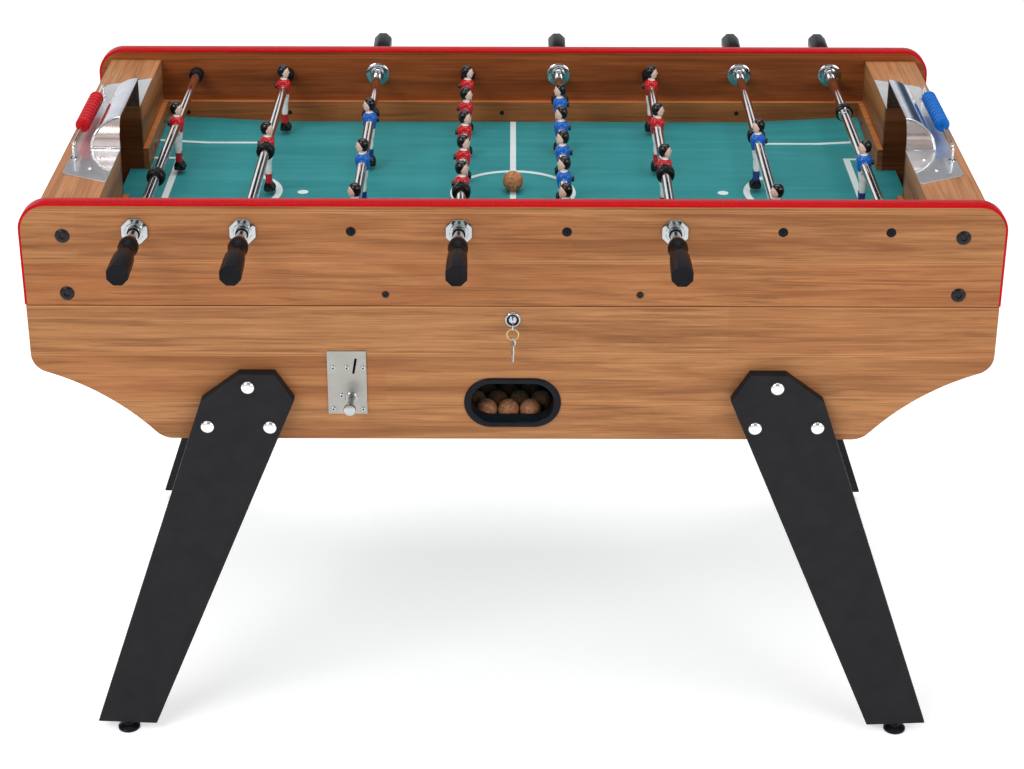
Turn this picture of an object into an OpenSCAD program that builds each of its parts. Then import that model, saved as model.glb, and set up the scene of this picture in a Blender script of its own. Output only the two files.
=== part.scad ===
// Café foosball table: a tilting play box on a fixed base box, carried by four splayed board legs.
// Origin: on the floor, under the middle of the table. X runs goal to goal, Y from side to side, Z up.

/* [Cabinet] */
// Overall length over the edge trims
table_length = 1476; // [1468:1:1500]
// Depth over the outer faces of the two long side boards
table_depth = 776; // [770:1:790]
// Height of the rim above the floor
rim_height = 918; // [914:1:930]
// Thickness of the long side boards
board_thickness = 26; // [25:0.5:27]
// Height of the seam where the play box tilts off the base box
seam_height = 756; // [755:0.5:757]
// Open gap left at the seam
seam_gap = 1.5; // [1.2:0.1:2]
// How far the edge trim stands proud of a board's edge
trim_thickness = 4; // [3:0.5:5]
// Radius of the rounded top corners of the side boards
rim_corner = 40; // [30:1:45]
// Lowest edge of the base box
base_bottom = 531; // [528:1:534]

/* [Play box] */
// Drop from the rim to the top of the end caps
cap_drop = 16; // [15:1:18]
// Thickness of the end caps and the inner goal boards
cap_thickness = 22; // [20:1:24]
// Distance from the middle to the inner faces of the ends
goal_line = 626; // [625:1:628]
// Distance from the middle to the outer faces of the ends
end_outer = 714; // [712:1:716]
// Drop from the rim to the playing field
field_drop = 127; // [125:1:130]
// Half width of each goal mouth
goal_half = 108; // [107:0.5:110]
// Radius of the quarter-round goal hoods
hood_radius = 48; // [47:0.5:50]

/* [Rods] */
// Distance between neighbouring rods
rod_pitch = 161; // [160:0.5:162]
// Drop from the rim to the rod axes
rod_drop = 41; // [40:0.5:42]
// Outside diameter of the sliding tube
tube_d = 16; // [15:0.5:17]
// Diameter of the fixed-length inner rod
inner_d = 10; // [9:0.5:11]
// Radial clearance of every running fit
running_gap = 0.08; // [0.04:0.01:0.1]
// How far the handles stand out from the side board
handle_reach = 170; // [165:1:175]
// Width of a player across the arms
player_width = 30; // [26:1:31]
// Distance from the rod axis to the sole of a player's boot
foot_reach = 78.5; // [76:0.5:79]

/* [Legs] */
// Thickness of the leg boards
leg_thickness = 20; // [18:1:22]
// Diameter of the levelling feet
foot_d = 36; // [30:1:40]

/* [Fittings] */
// Diameter of the cork balls
ball_d = 34; // [32:0.5:34]
// Width of the coin plate
coin_plate_w = 60; // [56:1:64]
// Height of the coin plate
coin_plate_h = 106; // [104:1:108]
// Width of one scoring bead along its wire
bead_w = 14.1; // [13.5:0.1:15]

/* [Hidden] */
$fn = 48;

eps = 0.01;
// Main planes of the cabinet
half_l = table_length / 2;
outer_y = table_depth / 2;
inner_y = outer_y - board_thickness;
top_low = seam_height + seam_gap / 2;
base_top = seam_height - seam_gap / 2;
cap_top = rim_height - cap_drop;
// The red strip stands this much above the boards
trim_lift = 2.5;
cap_low = cap_top - cap_thickness;
field_z = rim_height - field_drop;
field_thickness = 10;
field_half_l = 650;
goal_board_t = 20;
end_panel_t = 24;
slot_half = goal_half - 2;
rail_z = rim_height - 90;
rail_t = 9;

// Rods: number 1 stands at the left end, the handle of each points to the side given here
rod_z = rim_height - rod_drop;
front_handle = [true, true, false, true, false, true, false, false];
men_count = [1, 2, 3, 5, 5, 3, 2, 1];
keeper_y = 90;
far_man = 289;
inner_rod_end = -150;
cup_face = inner_y - 20;
nose_face = inner_y - 9;
buffer_w = 24;
buffer_d = 30;
grip_end = -(outer_y + handle_reach);
collar_y = grip_end + 121;
keeper_in = 4;
men_in = 28;
boot_half = 11;

function rod_x(i) = (i - 4.5) * rod_pitch;
function spacing(n) = n == 2 ? 298 : n == 3 ? 200 : 120;
function men_y(n) = n == 1 ? [keeper_y] : [for (k = [0:n - 1]) far_man - k * spacing(n)];
function travel_in(n) = n == 1 ? keeper_in : men_in;
// The far face of the buffer clears the nearest man, or sets the keeper's way out
function near_man(n) = men_y(n)[n - 1];
function buffer_far(n) = n == 1 ? -nose_face + 0.5 + buffer_w + 2 * keeper_y + keeper_in
                                : near_man(n) - player_width / 2 - 0.5;
function tube_far(n) = cup_face - 1 - travel_in(n);

// Points of an arc from angle a to angle b
function arc(cx, cy, r, a, b, n) =
    [for (k = [0:n]) [cx + r * cos(a + (b - a) * k / n), cy + r * sin(a + (b - a) * k / n)]];
function mirrored(pts) = [for (k = [len(pts) - 1:-1:0]) [-pts[k][0], pts[k][1]]];

// Cylinder along Y from y0 to y1, centred on [x, z]
module y_rod(x, z, y0, y1, d, sides = 48) {
    translate([x, y0, z]) rotate([-90, 0, 0]) cylinder(h = y1 - y0, d = d, $fn = sides);
}

// Cylinder along X from x0 to x1, centred on [y, z]
module x_rod(y, z, x0, x1, d) {
    translate([x0, y, z]) rotate([0, 90, 0]) cylinder(h = x1 - x0, d = d);
}

// Stands a flat XZ outline up as a board from y0 to y1
module board(y0, y1) {
    translate([0, y1, 0]) rotate([90, 0, 0]) linear_extrude(y1 - y0) children();
}

// Copies a piece to both ends of the table
module both_ends() {
    children();
    mirror([1, 0, 0]) children();
}

// Copies a piece to both long sides of the table
module both_sides() {
    children();
    mirror([0, 1, 0]) children();
}

// Puts a rod's pieces, drawn with the handle towards -Y, at rod i
module at_rod(i) {
    translate([rod_x(i), 0, rod_z]) rotate([0, 0, front_handle[i - 1] ? 0 : 180]) children();
}

/* ---- rods ---- */

module inner_rod(i) {
    color("silver") at_rod(i) y_rod(0, 0, inner_rod_end, outer_y - 3.5, inner_d);
}

module rod_tube(i) {
    far = tube_far(men_count[i - 1]);
    color("gainsboro") at_rod(i) difference() {
        y_rod(0, 0, grip_end + 10, far, tube_d);
        y_rod(0, 0, grip_end + 120, far + 1, inner_d + 2 * running_gap);
    }
}

// Octagonal hand grip with a round collar, and the rubber buffer that stops the rod
module grip_and_buffer(i) {
    far = buffer_far(men_count[i - 1]);
    color("dimgray") at_rod(i) {
        difference() {
            union() {
                translate([0, collar_y, 0]) rotate([90, 0, 0]) rotate_extrude()
                    polygon([[0, 0], [12, 0], [15, 4], [15, 20], [12, 30], [12, 36], [15, 50], [0, 50]]);
                rotate([0, 22.5, 0]) y_rod(0, 0, grip_end, collar_y - 48, 34, 8);
            }
            y_rod(0, 0, grip_end + 10, collar_y + 1, tube_d);
        }
        difference() {
            y_rod(0, 0, far - buffer_w, far, buffer_d);
            y_rod(0, 0, far - buffer_w - 1, far + 1, tube_d);
        }
    }
}

// One player facing +X, with the clamp screw in the back, without the hole for the tube
module player() {
    translate([-12.8, -player_width / 2, -16]) cube([25.6, player_width, 30]);
    x_rod(0, 2, -16, -12, 10);
    translate([-8, -9, -30]) cube([16, 18, 20]);
    translate([-6, -8, -66]) cube([12, 16, 44]);
    translate([-9, -boot_half, -foot_reach]) cube([20, 2 * boot_half, 14]);
    translate([0, 0, 12]) cylinder(h = 12, d = 12);
    translate([0, 0, 28]) sphere(d = 24);
}

module players(i) {
    n = men_count[i - 1];
    color(front_handle[i - 1] ? "crimson" : "royalblue") at_rod(i)
        for (y = men_y(n)) translate([0, y, 0]) difference() {
            player();
            y_rod(0, 0, -player_width, player_width, tube_d);
        }
}

/* ---- play box ---- */

// Outline of an upper side board, grown outwards by g at the top and the ends
module top_outline(g) {
    x = half_l - trim_thickness + g;
    z = rim_height + trim_lift - trim_thickness + g;
    r = rim_corner + g;
    right = concat([[x, top_low]], arc(x - r, z - r, r, 0, 90, 12));
    polygon(concat(right, mirrored(right)));
}

module top_side_boards() {
    color("peru") difference() {
        both_sides() board(-outer_y, -inner_y) top_outline(0);
        for (i = [1:8]) at_rod(i) {
            y_rod(0, 0, -outer_y - 1, -inner_y + 1, 24);
            y_rod(0, 0, inner_y - 1, outer_y + 1, 15);
        }
        top_bolt_places() y_rod(0, 0, -outer_y - 1, -inner_y + 1, bolt_shank);
        rail_screw_places() y_rod(0, 0, -inner_y - 12, -inner_y + 1, rail_screw_d);
    }
}

module edge_trims() {
    color("red") both_sides() board(-outer_y, -inner_y) difference() {
        top_outline(trim_thickness);
        top_outline(0);
    }
}

// Cap over each end, with the slot under the goal hood, and the outer end panel below it
module end_casings() {
    color("burlywood") both_ends() difference() {
        union() {
            translate([goal_line, -inner_y, cap_low])
                cube([end_outer - goal_line, 2 * inner_y, cap_thickness]);
            translate([end_outer - end_panel_t, -inner_y, top_low])
                cube([end_panel_t, 2 * inner_y, cap_low - top_low + 1]);
        }
        translate([goal_line - 1, -slot_half, cap_low - 1])
            cube([hood_radius - 1, 2 * slot_half, cap_thickness + 2]);
        hood_screw_places() translate([0, 0, cap_top - 10]) cylinder(h = 11, d = 4);
        for (y = wire_ends) translate([wire_x, y, cap_top - 10]) cylinder(h = 11, d = wire_d);
        top_bolt_places() y_rod(0, 0, -inner_y - 1, -inner_y + 30, bolt_shank);
    }
}

// Inner end boards beside each goal mouth, with the side walls of the goal pocket
module goal_boards() {
    x2 = end_outer - end_panel_t;
    color("sienna") both_ends() both_sides() difference() {
        union() {
            translate([goal_line, -inner_y, field_z])
                cube([goal_board_t, inner_y - goal_half, cap_low - field_z]);
            translate([field_half_l, -goal_half - 12, top_low])
                cube([x2 - field_half_l, 12, cap_low - top_low]);
            translate([goal_line + 1, -goal_half - 12, field_z]) cube([30, 12, cap_low - field_z]);
        }
        end_rail_screw_places() x_rod(0, 0, goal_line - 1, goal_line + 12, rail_screw_d);
    }
}

// The field board and the four low ramps in its corners
module playfield() {
    ramp = 200;
    rise = 10.5;
    x1 = goal_line - rail_t;
    y1 = inner_y - rail_t;
    color("teal") {
        translate([-field_half_l, -inner_y, field_z - field_thickness])
            cube([2 * field_half_l, 2 * inner_y, field_thickness]);
        both_ends() both_sides() difference() {
            translate([0, 0, field_z - 2]) linear_extrude(rise + 2)
                polygon([[x1, -y1], [x1 - ramp, -y1], [x1, -y1 + ramp]]);
            translate([x1 - ramp / 2 + 2, -y1 + ramp / 2 - 2, field_z]) rotate([0, 0, -45])
                rotate([0, -atan2(rise, (ramp / 2 - 2) * sqrt(2)), 0])
                    translate([-20, -ramp, 0]) cube([ramp + 40, 2 * ramp, 2 * rise]);
        }
    }
}

// Low rails round the field, a little proud of the walls above them
module inner_rails() {
    h = rail_z - field_z;
    color("chocolate") difference() {
        union() {
            both_sides() translate([-goal_line, -inner_y, field_z]) cube([2 * goal_line, rail_t, h]);
            both_ends() both_sides() translate([goal_line - rail_t, -inner_y + rail_t, field_z])
                cube([rail_t, inner_y - rail_t - goal_half, h]);
        }
        rail_screw_places() y_rod(0, 0, -inner_y - 1, -inner_y + rail_t + 1, rail_screw_d);
        both_ends() both_sides() end_rail_screw_places()
            x_rod(0, 0, goal_line - rail_t - 1, goal_line + 1, rail_screw_d);
    }
}

hood_t = 2;
plate_t = 2;
wire_d = 4;
wire_x = 693;
wire_z = cap_top + 24;
wire_ends = [-148, 152];
wire_bend = 8;
bead_d = 24;
bead_pitch = bead_w + 0.3;
bead_first = [-60, -48];

// Bent wire of one scorer, its two ends standing through the base plate in the end cap
module score_wire() {
    y_rod(wire_x, wire_z, wire_ends[0] + wire_bend, wire_ends[1] - wire_bend, wire_d);
    for (side = [0, 1]) translate([wire_x, wire_ends[side], wire_z]) mirror([0, side, 0]) {
        translate([0, 0, cap_top - wire_z - 10]) cylinder(h = wire_z - cap_top + 10 - wire_bend, d = wire_d);
        translate([0, wire_bend, -wire_bend]) rotate([90, 0, 90]) rotate([0, 0, 90])
            rotate_extrude(angle = 90) translate([wire_bend, 0]) circle(d = wire_d);
    }
}

// Room under a hood of radius r: upright far cheek, near cheek folded in above its foot
module hood_room(r, y) {
    fold = 40;
    intersection() {
        y_rod(goal_line, cap_top + plate_t, -y, y, 2 * r, 96);
        translate([goal_line, -y, cap_top + plate_t]) cube([r, 2 * y, r]);
        translate([goal_line - 1, -y, cap_top + 24]) rotate([-fold, 0, 0])
            translate([0, 0, -60]) cube([r + 2, 3 * y, 200]);
    }
}

// Quarter-round hood on its base plate, and the bent wire of the scorer behind it
module goal_hoods() {
    z0 = cap_top;
    r = hood_radius;
    color("lightgray") both_ends() {
        difference() {
            union() {
                translate([0, 0, z0]) linear_extrude(plate_t)
                    polygon([[goal_line, -251], [goal_line + 3, -252], [698, -216], [700, -210],
                             [700, 210], [698, 216], [goal_line + 3, 252], [goal_line, 251]]);
                hood_room(r, goal_half);
            }
            translate([-eps, 0, -eps]) hood_room(r - hood_t, goal_half - hood_t);
            translate([goal_line - 1, -slot_half, z0 - 1]) cube([r - 1, 2 * slot_half, plate_t + 1.5]);
            hood_screw_places() translate([0, 0, z0 - 1]) cylinder(h = 4, d = 4);
        }
        score_wire();
    }
}

// Chrome bearing of each rod: octagonal flange and nose outside, round flange inside
module rod_bearings() {
    color("whitesmoke") for (i = [1:8]) at_rod(i) difference() {
        union() {
            rotate([0, 22.5, 0]) y_rod(0, 0, -outer_y - 4, -outer_y, 43.3, 8);
            y_rod(0, 0, -outer_y - 12, -outer_y, 21);
            y_rod(0, 0, -outer_y, -inner_y, 24);
            y_rod(0, 0, -inner_y, -inner_y + 3, 41);
            y_rod(0, 0, -inner_y, -nose_face, 23);
        }
        y_rod(0, 0, -outer_y - 13, -nose_face + 1, tube_d + 2 * running_gap);
    }
}

// Black end stop of each inner rod: cup inside, spigot through the board, small cap outside
module rod_sockets() {
    color("black") for (i = [1:8]) at_rod(i) difference() {
        union() {
            y_rod(0, 0, cup_face, inner_y, 25);
            y_rod(0, 0, inner_y, outer_y, 15);
            y_rod(0, 0, outer_y, outer_y + 1.5, 12);
        }
        y_rod(0, 0, cup_face - 1, outer_y - 3, inner_d + 2 * running_gap);
    }
}

bolt_shank = 8;
rail_screw_d = 4;
big_bolts = [[672, rim_height - 49], [672, rim_height - 142]];
small_bolts = [[192, rim_height - 143]];
rail_screws = [-582, -400, 20, 400, 582];
end_rail_screws = [-300, -180];

// Bolts through both side boards into the ends: children are drawn on the front side
module top_bolt_places() {
    both_sides() both_ends() for (p = big_bolts) translate([p[0], 0, p[1]]) children();
}

module rail_screw_places() {
    for (turn = [0, 180]) rotate([0, 0, turn]) for (x = rail_screws)
        translate([x, 0, rail_z - 20]) children();
}

module end_rail_screw_places() {
    for (y = end_rail_screws) translate([0, y, rail_z - 20]) children();
}

module hood_screw_places() {
    both_sides() for (p = [[649, 146], [661, 194]]) translate([p[0], p[1], 0]) children();
}

// Flat-headed bolts and screws of the play box
module top_screws() {
    color("darkslategray") {
        top_bolt_places() {
            y_rod(0, 0, -outer_y - 3, -outer_y, 22);
            y_rod(0, 0, -outer_y, -inner_y + 30, bolt_shank);
        }
        both_sides() both_ends() for (p = small_bolts) y_rod(p[0], p[1], -outer_y - 2, -outer_y, 11);
        rail_screw_places() {
            y_rod(0, 0, -inner_y + rail_t, -inner_y + rail_t + 1, 8);
            y_rod(0, 0, -inner_y - 12, -inner_y + rail_t, rail_screw_d);
        }
        both_ends() both_sides() end_rail_screw_places() {
            x_rod(0, 0, goal_line - rail_t - 1, goal_line - rail_t, 8);
            x_rod(0, 0, goal_line - rail_t, goal_line + 12, rail_screw_d);
        }
        both_ends() hood_screw_places() {
            translate([0, 0, cap_top + plate_t]) cylinder(h = 1.5, d = 8);
            translate([0, 0, cap_top - 10]) cylinder(h = 10 + plate_t, d = 4);
        }
    }
}

/* ---- hinges between the two boxes ---- */

hinge_x = [-500, 0, 500];
hinge_y = outer_y + 5.4;
hinge_r = 5;
hinge_w = 70;
leaf_h = 32;
leaf_t = 2;
knuckle = 20;
pin_d = 5;

module hinge_top_leaves() {
    mid = hinge_w - 2 * knuckle - 1;
    color("slategray") for (x = hinge_x) translate([x, 0, 0]) difference() {
        union() {
            translate([-mid / 2, outer_y, top_low]) cube([mid, leaf_t, leaf_h]);
            translate([-hinge_w / 2, outer_y, top_low + 7]) cube([hinge_w, leaf_t, leaf_h - 7]);
            x_rod(hinge_y, seam_height, -mid / 2, mid / 2, 2 * hinge_r);
        }
        x_rod(hinge_y, seam_height, -hinge_w, hinge_w, pin_d + 2 * running_gap);
    }
}

module hinge_base_leaves() {
    color("slategray") for (x = hinge_x) translate([x, 0, 0]) {
        for (s = [-1, 1]) {
            translate([s * (hinge_w - knuckle) / 2 - knuckle / 2, outer_y, base_top - leaf_h])
                cube([knuckle, leaf_t, leaf_h]);
            x_rod(hinge_y, seam_height, s * (hinge_w - knuckle) / 2 - knuckle / 2,
                  s * (hinge_w - knuckle) / 2 + knuckle / 2, 2 * hinge_r);
        }
        translate([-hinge_w / 2, outer_y, base_top - leaf_h]) cube([hinge_w, leaf_t, leaf_h - 7]);
        x_rod(hinge_y, seam_height, -hinge_w / 2, hinge_w / 2, pin_d);
    }
}

/* ---- base box ---- */

outlet = [0, rim_height - 324];
coin = [-254, rim_height - 290];
lock = [0, rim_height - 184];

// Right half of a lower side board: upright end, round corner, hollow sweep, round foot
module base_outline() {
    x = half_l - trim_thickness + 2;
    corner_r = 30.5;
    sweep_r = 385.5;
    foot_r = 37;
    a1 = -71.7;
    c1 = [x - corner_r, base_top - 81.5];
    // A short straight run joins the corner to the sweep
    c2 = c1 - [3, 1] + (corner_r + sweep_r) * [cos(a1), sin(a1)];
    // The foot arc meets the sweep and ends level with the bottom edge
    a3 = 180 - asin((base_bottom + foot_r - c2[1]) / (sweep_r + foot_r));
    c3 = c2 + (sweep_r + foot_r) * [cos(a3), sin(a3)];
    right = concat([[x, base_top]], arc(c1[0], c1[1], corner_r, 0, a1, 10),
                   arc(c2[0], c2[1], sweep_r, 180 + a1, a3, 14),
                   arc(c3[0], c3[1], foot_r, a3 - 180, -90, 8));
    polygon(concat(right, mirrored(right)));
}

module stadium(w, h) {
    square([w - h, h], center = true);
    for (s = [-1, 1]) translate([s * (w - h) / 2, 0]) circle(d = h);
}

module base_side_boards() {
    color("peru") difference() {
        both_sides() board(-outer_y, -inner_y) base_outline();
        translate([outlet[0], 0, outlet[1]]) board(-outer_y - 1, -inner_y + 1) stadium(134, 70);
        y_rod(lock[0], lock[1], -outer_y - 1, -inner_y + 1, 19);
        y_rod(coin[0] + 6, coin[1] - 26, -outer_y - 1, -inner_y + 1, 16);
        coin_slot(-outer_y - 1, -inner_y + 1);
        leg_bolt_places() y_rod(0, 0, -outer_y - 1, -inner_y + 1, leg_shank);
    }
}

// End boards of the base box and two boards across it, notched for the ball chutes
module base_cross_boards() {
    color("peru") both_ends() {
        translate([end_outer - end_panel_t, -inner_y, base_top - 76]) cube([end_panel_t, 2 * inner_y, 76]);
        difference() {
            translate([330, -inner_y, base_bottom + 20]) cube([18, 2 * inner_y, 170]);
            at_chute() translate([0, 0, -3]) cube([chute_len, chute_w, 62]);
        }
    }
}

// Low end, slope and size of the two long ball chutes
chute_low = 592;
chute_x0 = 76;
chute_slope = 9.2;
chute_len = 616;
chute_w = 48;
tray_z = outlet[1] - 51.2;
tray_wall = 45.8;
glue_line = 0.1;

// Trough of three boards glued along their edges: a floor of thickness t and a wall on each side
module trough(len, w, wall, t) {
    translate([0, 0, -t]) cube([len, w, t]);
    for (y = [0, w - t]) translate([0, y, glue_line]) cube([len, t, wall - glue_line]);
}

module at_chute() {
    translate([chute_x0, -inner_y + 16, chute_low]) rotate([0, -chute_slope, 0]) children();
}

// The tray behind the outlet, the two long chutes to it and the trough under each goal
module ball_chutes() {
    color("tan") {
        translate([-80, -inner_y, tray_z - 4]) cube([160, 100, 4]);
        for (x = [-80, 76]) translate([x, -inner_y, tray_z + glue_line]) cube([4, 96 - glue_line, tray_wall]);
        translate([-80, -inner_y + 96, tray_z + glue_line]) cube([160, 4, tray_wall]);
        both_ends() {
            at_chute() trough(chute_len, chute_w, 20, 3);
            translate([end_outer - end_panel_t - 20, -inner_y + 20, 672]) cube([20, 40, 15]);
            translate([field_half_l - 6, 150, 733]) rotate([0, 2, -90])
                trough(450, 42, 16, 3);
            for (y = [-240, 80]) translate([field_half_l + 36 + glue_line, y, 726])
                cube([4 - glue_line, 40, 16]);
        }
    }
}

module outlet_frame() {
    color("black") translate([outlet[0], 0, outlet[1]]) difference() {
        union() {
            board(-outer_y - 3, -outer_y) stadium(150, 84);
            board(-outer_y - eps, -inner_y) stadium(134, 70);
        }
        board(-outer_y - 4, -inner_y + 1) stadium(127, 64);
    }
}

// Balls waiting behind the outlet, in staggered rows
module stored_balls() {
    pitch = ball_d + 0.3;
    color("navajowhite") for (row = [0:2]) for (k = [0:row == 1 ? 3 : 2])
        translate([-6 + (k - (row == 1 ? 1.5 : 1)) * pitch, -inner_y + 19 + row * pitch * 0.88,
                   tray_z + ball_d / 2]) sphere(d = ball_d);
}

// Slanted coin slot through a slab from y0 to y1
module coin_slot(y0, y1) {
    translate([coin[0] + 12, 0, coin[1] + 28]) rotate([0, 10, 0])
        translate([-1.9, y0, -13]) cube([3.8, y1 - y0, 26]);
}

module coin_plate() {
    color("lightgray") difference() {
        union() {
            translate([coin[0] - coin_plate_w / 2, -outer_y - 2, coin[1] - coin_plate_h / 2])
                cube([coin_plate_w, 2, coin_plate_h]);
            y_rod(coin[0] + 6, coin[1] - 26, -outer_y - 4, -inner_y + 20, 16);
            for (p = [[-21, 25], [0, 25], [25, 25], [-9, -22], [-22, -45], [24, -45]])
                y_rod(coin[0] + p[0], coin[1] + p[1], -outer_y - 3, -outer_y, 5);
        }
        y_rod(coin[0] + 6, coin[1] - 26, -outer_y - 5, -inner_y + 21, 10 + 2 * running_gap);
        coin_slot(-outer_y - 3, -outer_y + 1);
    }
}

module coin_knob() {
    color("silver") translate([coin[0] + 6, 0, coin[1] - 26]) {
        y_rod(0, 0, -outer_y - 47, -outer_y - 37, 19);
        y_rod(0, 0, -outer_y - 38, -inner_y + 24, 10);
    }
}

module lock_barrel() {
    color("silver") translate([lock[0], 0, lock[1]]) difference() {
        union() {
            y_rod(0, 0, -outer_y - 3, -outer_y, 25);
            y_rod(0, 0, -outer_y, -inner_y + 6, 19);
        }
        y_rod(0, 0, -outer_y - 4, -inner_y + 7, 12 + 2 * running_gap);
    }
}

bow_y = -outer_y - 20;
ring_r = 10;
ring_wire = 1.8;

// Lock plug with its cam, and the key standing in it with its bow upright
module key_and_plug() {
    color("silver") translate([lock[0], 0, lock[1]]) {
        y_rod(0, 0, -outer_y - 2.5, -inner_y + 12, 12);
        translate([-34, -inner_y + 8, -7]) cube([36, 3, 14]);
        translate([-1, -outer_y - 12, -4]) cube([2, 10, 8]);
        difference() {
            x_rod(bow_y, 0, -1, 1, 20);
            x_rod(bow_y - 5, -5, -2, 2, 5);
        }
    }
}

// Split ring through the bow, with the spare key hanging from it, turned a little
module key_ring() {
    z0 = lock[1] - 5 - ring_r;
    color("goldenrod") translate([lock[0], bow_y - 5, z0]) {
        rotate([90, 0, 0]) rotate_extrude() translate([ring_r, 0]) circle(d = ring_wire, $fn = 24);
        rotate([0, 0, 35]) difference() {
            union() {
                x_rod(0, -ring_r - 3, -1, 1, 14);
                translate([-1, -3, -ring_r - 38]) cube([2, 6, 30]);
            }
            x_rod(0, -ring_r, -2, 2, 5);
        }
    }
}

/* ---- legs ---- */

leg_shank = 10;
leg_bolt_at = [[405, rim_height - 290], [470, rim_height - 357], [374, rim_height - 358]];
leg_foot_x = 631;
stem_d = 10;
disc_h = 8;

module leg_bolt_places() {
    both_sides() both_ends() for (p = leg_bolt_at) translate([p[0], 0, p[1]]) children();
}

// Splayed leg board with a clipped head and a tapering blade
module legs() {
    color("dimgray") difference() {
        both_sides() both_ends() board(-outer_y - leg_thickness, -outer_y)
            polygon([[583.5, 14], [679, 18], [478, 605], [418.5, 650], [363.5, 650], [335, 605]]);
        leg_bolt_places() y_rod(0, 0, -outer_y - leg_thickness - 1, -outer_y + 1, leg_shank);
        foot_places() translate([0, 0, 1]) cylinder(h = 60, d = stem_d);
    }
}

module leg_bolts() {
    color("silver") leg_bolt_places() {
        y_rod(0, 0, -outer_y - leg_thickness - 5, -outer_y - leg_thickness, 22);
        y_rod(0, 0, -outer_y - leg_thickness, -inner_y, leg_shank);
        y_rod(0, 0, -inner_y, -inner_y + 3, 20);
    }
}

module foot_places() {
    both_sides() both_ends() translate([leg_foot_x, -outer_y - leg_thickness / 2, 0]) children();
}

module levelling_feet() {
    color("black") foot_places() {
        cylinder(h = disc_h, d = foot_d);
        translate([0, 0, 1]) cylinder(h = 60, d = stem_d);
    }
}

/* ---- loose pieces ---- */

module field_ball() {
    color("navajowhite") translate([0, 7, field_z + 0.3 + ball_d / 2]) sphere(d = ball_d);
}

// Ten ribbed scoring beads on one wire, the first of them starting at y
module beads(shade, y) {
    r = bead_d / 2;
    hole = wire_d / 2 + running_gap;
    color(shade) for (k = [0:9]) translate([wire_x, y + k * bead_pitch, wire_z])
        rotate([-90, 0, 0]) rotate_extrude()
            polygon([[hole, 0], [r - 3, 0], [r - 0.8, 1.2], [r, 3.5], [r, bead_w - 3.5],
                     [r - 0.8, bead_w - 1.2], [r - 3, bead_w], [hole, bead_w]]);
}

module left_beads() {
    mirror([1, 0, 0]) beads("red", bead_first[0]);
}

module right_beads() {
    beads("dodgerblue", bead_first[1]);
}

for (i = [1:8]) {
    inner_rod(i);
    rod_tube(i);
    grip_and_buffer(i);
    players(i);
}
top_side_boards();
edge_trims();
end_casings();
goal_boards();
playfield();
inner_rails();
goal_hoods();
rod_bearings();
rod_sockets();
top_screws();
hinge_top_leaves();
base_side_boards();
base_cross_boards();
ball_chutes();
outlet_frame();
stored_balls();
coin_plate();
lock_barrel();
hinge_base_leaves();
legs();
leg_bolts();
levelling_feet();
coin_knob();
key_and_plug();
key_ring();
field_ball();
left_beads();
right_beads();
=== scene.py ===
"""Looks for the foosball table. Sizes inside pieces are millimetres; MM turns them into metres."""

import math

import bmesh
import bpy
from mathutils import Matrix, Vector


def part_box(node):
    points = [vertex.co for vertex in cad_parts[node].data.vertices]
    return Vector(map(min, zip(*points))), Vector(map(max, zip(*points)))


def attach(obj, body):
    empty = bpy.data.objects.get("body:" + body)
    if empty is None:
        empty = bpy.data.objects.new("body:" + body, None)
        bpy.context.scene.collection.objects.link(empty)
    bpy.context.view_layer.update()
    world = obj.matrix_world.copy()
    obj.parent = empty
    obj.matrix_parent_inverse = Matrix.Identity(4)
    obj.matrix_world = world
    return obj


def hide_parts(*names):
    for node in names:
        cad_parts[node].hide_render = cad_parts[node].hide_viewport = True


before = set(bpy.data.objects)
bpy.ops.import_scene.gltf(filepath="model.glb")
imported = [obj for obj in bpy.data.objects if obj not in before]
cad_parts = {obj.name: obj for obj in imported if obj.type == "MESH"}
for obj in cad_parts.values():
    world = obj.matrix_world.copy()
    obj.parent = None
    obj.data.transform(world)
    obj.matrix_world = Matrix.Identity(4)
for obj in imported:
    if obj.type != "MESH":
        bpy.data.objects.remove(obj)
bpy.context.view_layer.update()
MM = 0.001

# Players on each rod, which rods are worked from the front, and the gap between players
MEN = [1, 2, 3, 5, 5, 3, 2, 1]
FRONT_HANDLE = [True, True, False, True, False, True, False, False]
SPACING = {1: 0, 2: 298, 3: 200, 5: 120}


# ---- positions from the frame, in millimetres ----
def box_mm(node):
    lo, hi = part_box(node)
    return lo / MM, hi / MM


def centre_xz(node):
    """Middle of a node's box, seen from the front."""
    lo, hi = box_mm(node)
    return (lo.x + hi.x) / 2, (lo.z + hi.z) / 2


RODS = [centre_xz(f"inner_rod_{i}") for i in range(1, 9)]
TRIM_LO, TRIM_HI = box_mm("edge_trims")
OUTER_Y = TRIM_HI.y
INNER_Y = OUTER_Y - 26
CAP_TOP = box_mm("end_casings")[1].z
RAIL_LO, RAIL_HI = box_mm("inner_rails")
GOAL_LINE = RAIL_HI.x
FIELD_Z = RAIL_LO.z
LEG_FACE = OUTER_Y + 20
TRIM_RISE = 4
RIM_R = 40
BALL_R = 17
ROD_HOLE = 8.08


def at_rod(i):
    """Frame of rod i (1 to 8), with its handle towards -Y before it is turned."""
    x, z = RODS[i - 1]
    turn = 0 if FRONT_HANDLE[i - 1] else 180
    return shift(x, 0, z) @ spin(turn, "Z")


def men_at(n):
    """Where the n players of a rod sit along it."""
    return [90] if n == 1 else [289 - k * SPACING[n] for k in range(n)]


# ---- mesh building ----
def circle(n):
    """Cosine and sine of n equal steps round a circle."""
    return [(math.cos(2 * math.pi * k / n), math.sin(2 * math.pi * k / n)) for k in range(n)]


def quarter(n):
    """Cosine and sine of n steps through a quarter turn."""
    turns = [math.radians(90 * k / n) for k in range(n + 1)]
    return [(math.cos(t), math.sin(t)) for t in turns]


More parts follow.
